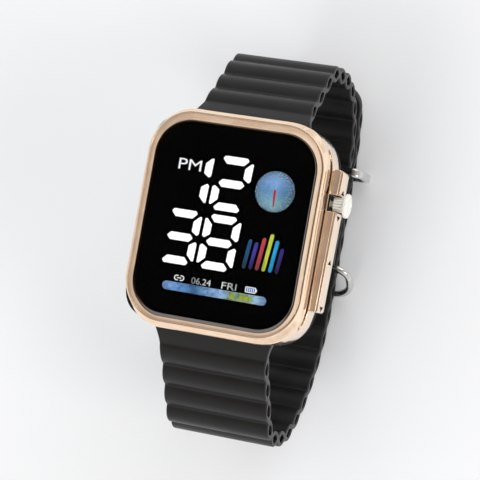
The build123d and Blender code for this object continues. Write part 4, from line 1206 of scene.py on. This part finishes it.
# The camera's place in millimetres, and what is right, down and forward in its view.
CAMERA_PLACE = Vector((103.1, -19.53, 345.56))
CAMERA_RIGHT = Vector((0.9464, 0.1744, -0.2717))
CAMERA_DOWN = Vector((0.1539, -0.9835, -0.0955))
CAMERA_FORWARD = Vector((-0.2839, 0.0486, -0.9576))


class WATCH_OT_stage(bpy.types.Operator):
    """Sets the pale floor, the soft lights, the world and the camera"""
    bl_idname = "watch.stage"
    bl_label = "Stage and camera"

    def execute(self, context):
        settings = context.scene.watch_stage
        scene = context.scene
        scene.view_settings.view_transform = "Standard"
        floor_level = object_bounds()[0].z
        corners = oblong(-FLOOR_HALF, -FLOOR_HALF, FLOOR_HALF, FLOOR_HALF)
        floor = linked("floor", mesh_from("floor", [(x, y, floor_level) for x, y in corners], [(0, 1, 2, 3)]))
        # Painted board: even pale grey-white with a soft, almost shadowless finish.
        floor.data.materials.append(shader("painted_board_matt", settings.floor, 0.6))
        floor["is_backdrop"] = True
        self.world(scene)
        for name, place, reach, share, colour in LAMPS:
            lamp = bpy.data.lights.new(name, "AREA")
            lamp.shape = "SQUARE"
            lamp.size = reach
            lamp.energy = settings.key * share
            lamp.color = linear(colour)[:3]
            holder = linked(name, lamp)
            # A flag hides the key light from mirror-like faces, which would show it as a white blot.
            holder.visible_glossy = name != "key_light"
            holder.location = place
            holder.rotation_mode = "QUATERNION"
            holder.rotation_quaternion = (LAMP_TARGET - Vector(place)).to_track_quat("-Z", "Y")
        camera = bpy.data.cameras.new("camera")
        camera.sensor_width = 36
        camera.lens = settings.lens
        camera.clip_start = 0.01
        holder = linked("camera", camera)
        turn = Matrix((CAMERA_RIGHT, -CAMERA_DOWN, -CAMERA_FORWARD)).transposed()
        holder.matrix_world = Matrix.Translation(CAMERA_PLACE * MM) @ turn.to_4x4()
        scene.camera = holder
        return {"FINISHED"}

    def world(self, scene):
        # A pale room: bright round its walls and floor, dim overhead, with soft level folds.
        world = bpy.data.worlds.new("soft_room")
        world.use_nodes = True
        scene.world = world
        tree = world.node_tree
        where = node(tree, "TexCoord").outputs["Generated"]
        parts = node(tree, "SeparateXYZ", where).outputs
        height = ramp(tree, parts["Z"], [
            (0.0, "#FFFFFF"), (0.38, "#FAF8F6"), (0.62, "#E2DCD6"), (0.85, "#B2A9A2"), (1.0, "#766E69"),
        ])
        side = spread(tree, parts["X"], 0.1, 0.9, 1.0, 0.9)
        squeezed = node(tree, "Mapping", where, Scale=(0.5, 0.5, 7)).outputs["Vector"]
        folds = node(tree, "TexNoise", squeezed, Scale=1.6, Detail=2.0).outputs["Fac"]
        room = maths(tree, "MULTIPLY", side, spread(tree, folds, 0.35, 0.65, 0.72, 1.08))
        rays = node(tree, "LightPath").outputs
        seen = maths(tree, "ADD", rays["Is Camera Ray"], rays["Is Glossy Ray"])
        seen = maths(tree, "ADD", seen, rays["Is Transmission Ray"], use_clamp=True)
        # Matt faces get an even pale dome; the camera, metal and glass see the room.
        strength = node(tree, "Mix", seen)
        put(tree, strength.inputs[2], scene.watch_stage.ambient)
        put(tree, strength.inputs[3], room)
        background = tree.nodes["Background"]
        put(tree, background.inputs["Color"], mix(tree, seen, linear("#F8F8F7"), height))
        put(tree, background.inputs["Strength"], strength.outputs[0])


class WATCH_PT_panel(bpy.types.Panel):
    """Lists the steps that dress the watch"""
    bl_idname = "WATCH_PT_panel"
    bl_label = "Digital watch"
    bl_space_type = "VIEW_3D"
    bl_region_type = "UI"
    bl_category = "Watch"

    def draw(self, context):
        for step in STEPS:
            self.layout.operator("watch." + step)
        for group in GROUPS:
            box = self.layout.box()
            settings = getattr(context.scene, group)
            for name in settings.__annotations__:
                box.prop(settings, name)


STEPS = (
    "case_frame", "case_back", "works", "crystal", "lit_windows", "icons", "crown", "strap", "clasp", "stage",
)
GROUPS = {
    "watch_case": WatchCaseSettings, "watch_display": WatchDisplaySettings, "watch_strap": WatchStrapSettings,
    "watch_clasp": WatchClaspSettings, "watch_stage": WatchStageSettings,
}
CLASSES = tuple(GROUPS.values()) + (
    WATCH_OT_case_frame, WATCH_OT_case_back, WATCH_OT_works, WATCH_OT_crystal, WATCH_OT_lit_windows,
    WATCH_OT_icons, WATCH_OT_crown, WATCH_OT_strap, WATCH_OT_clasp, WATCH_OT_stage, WATCH_PT_panel,
)


def register():
    for cls in CLASSES:
        bpy.utils.register_class(cls)
    for name, group in GROUPS.items():
        setattr(bpy.types.Scene, name, bpy.props.PointerProperty(type=group))


def unregister():
    for name in GROUPS:
        delattr(bpy.types.Scene, name)
    for cls in reversed(CLASSES):
        bpy.utils.unregister_class(cls)


def main():
    register()
    for step in STEPS:
        getattr(bpy.ops.watch, step)()


if __name__ == "__main__":
    main()
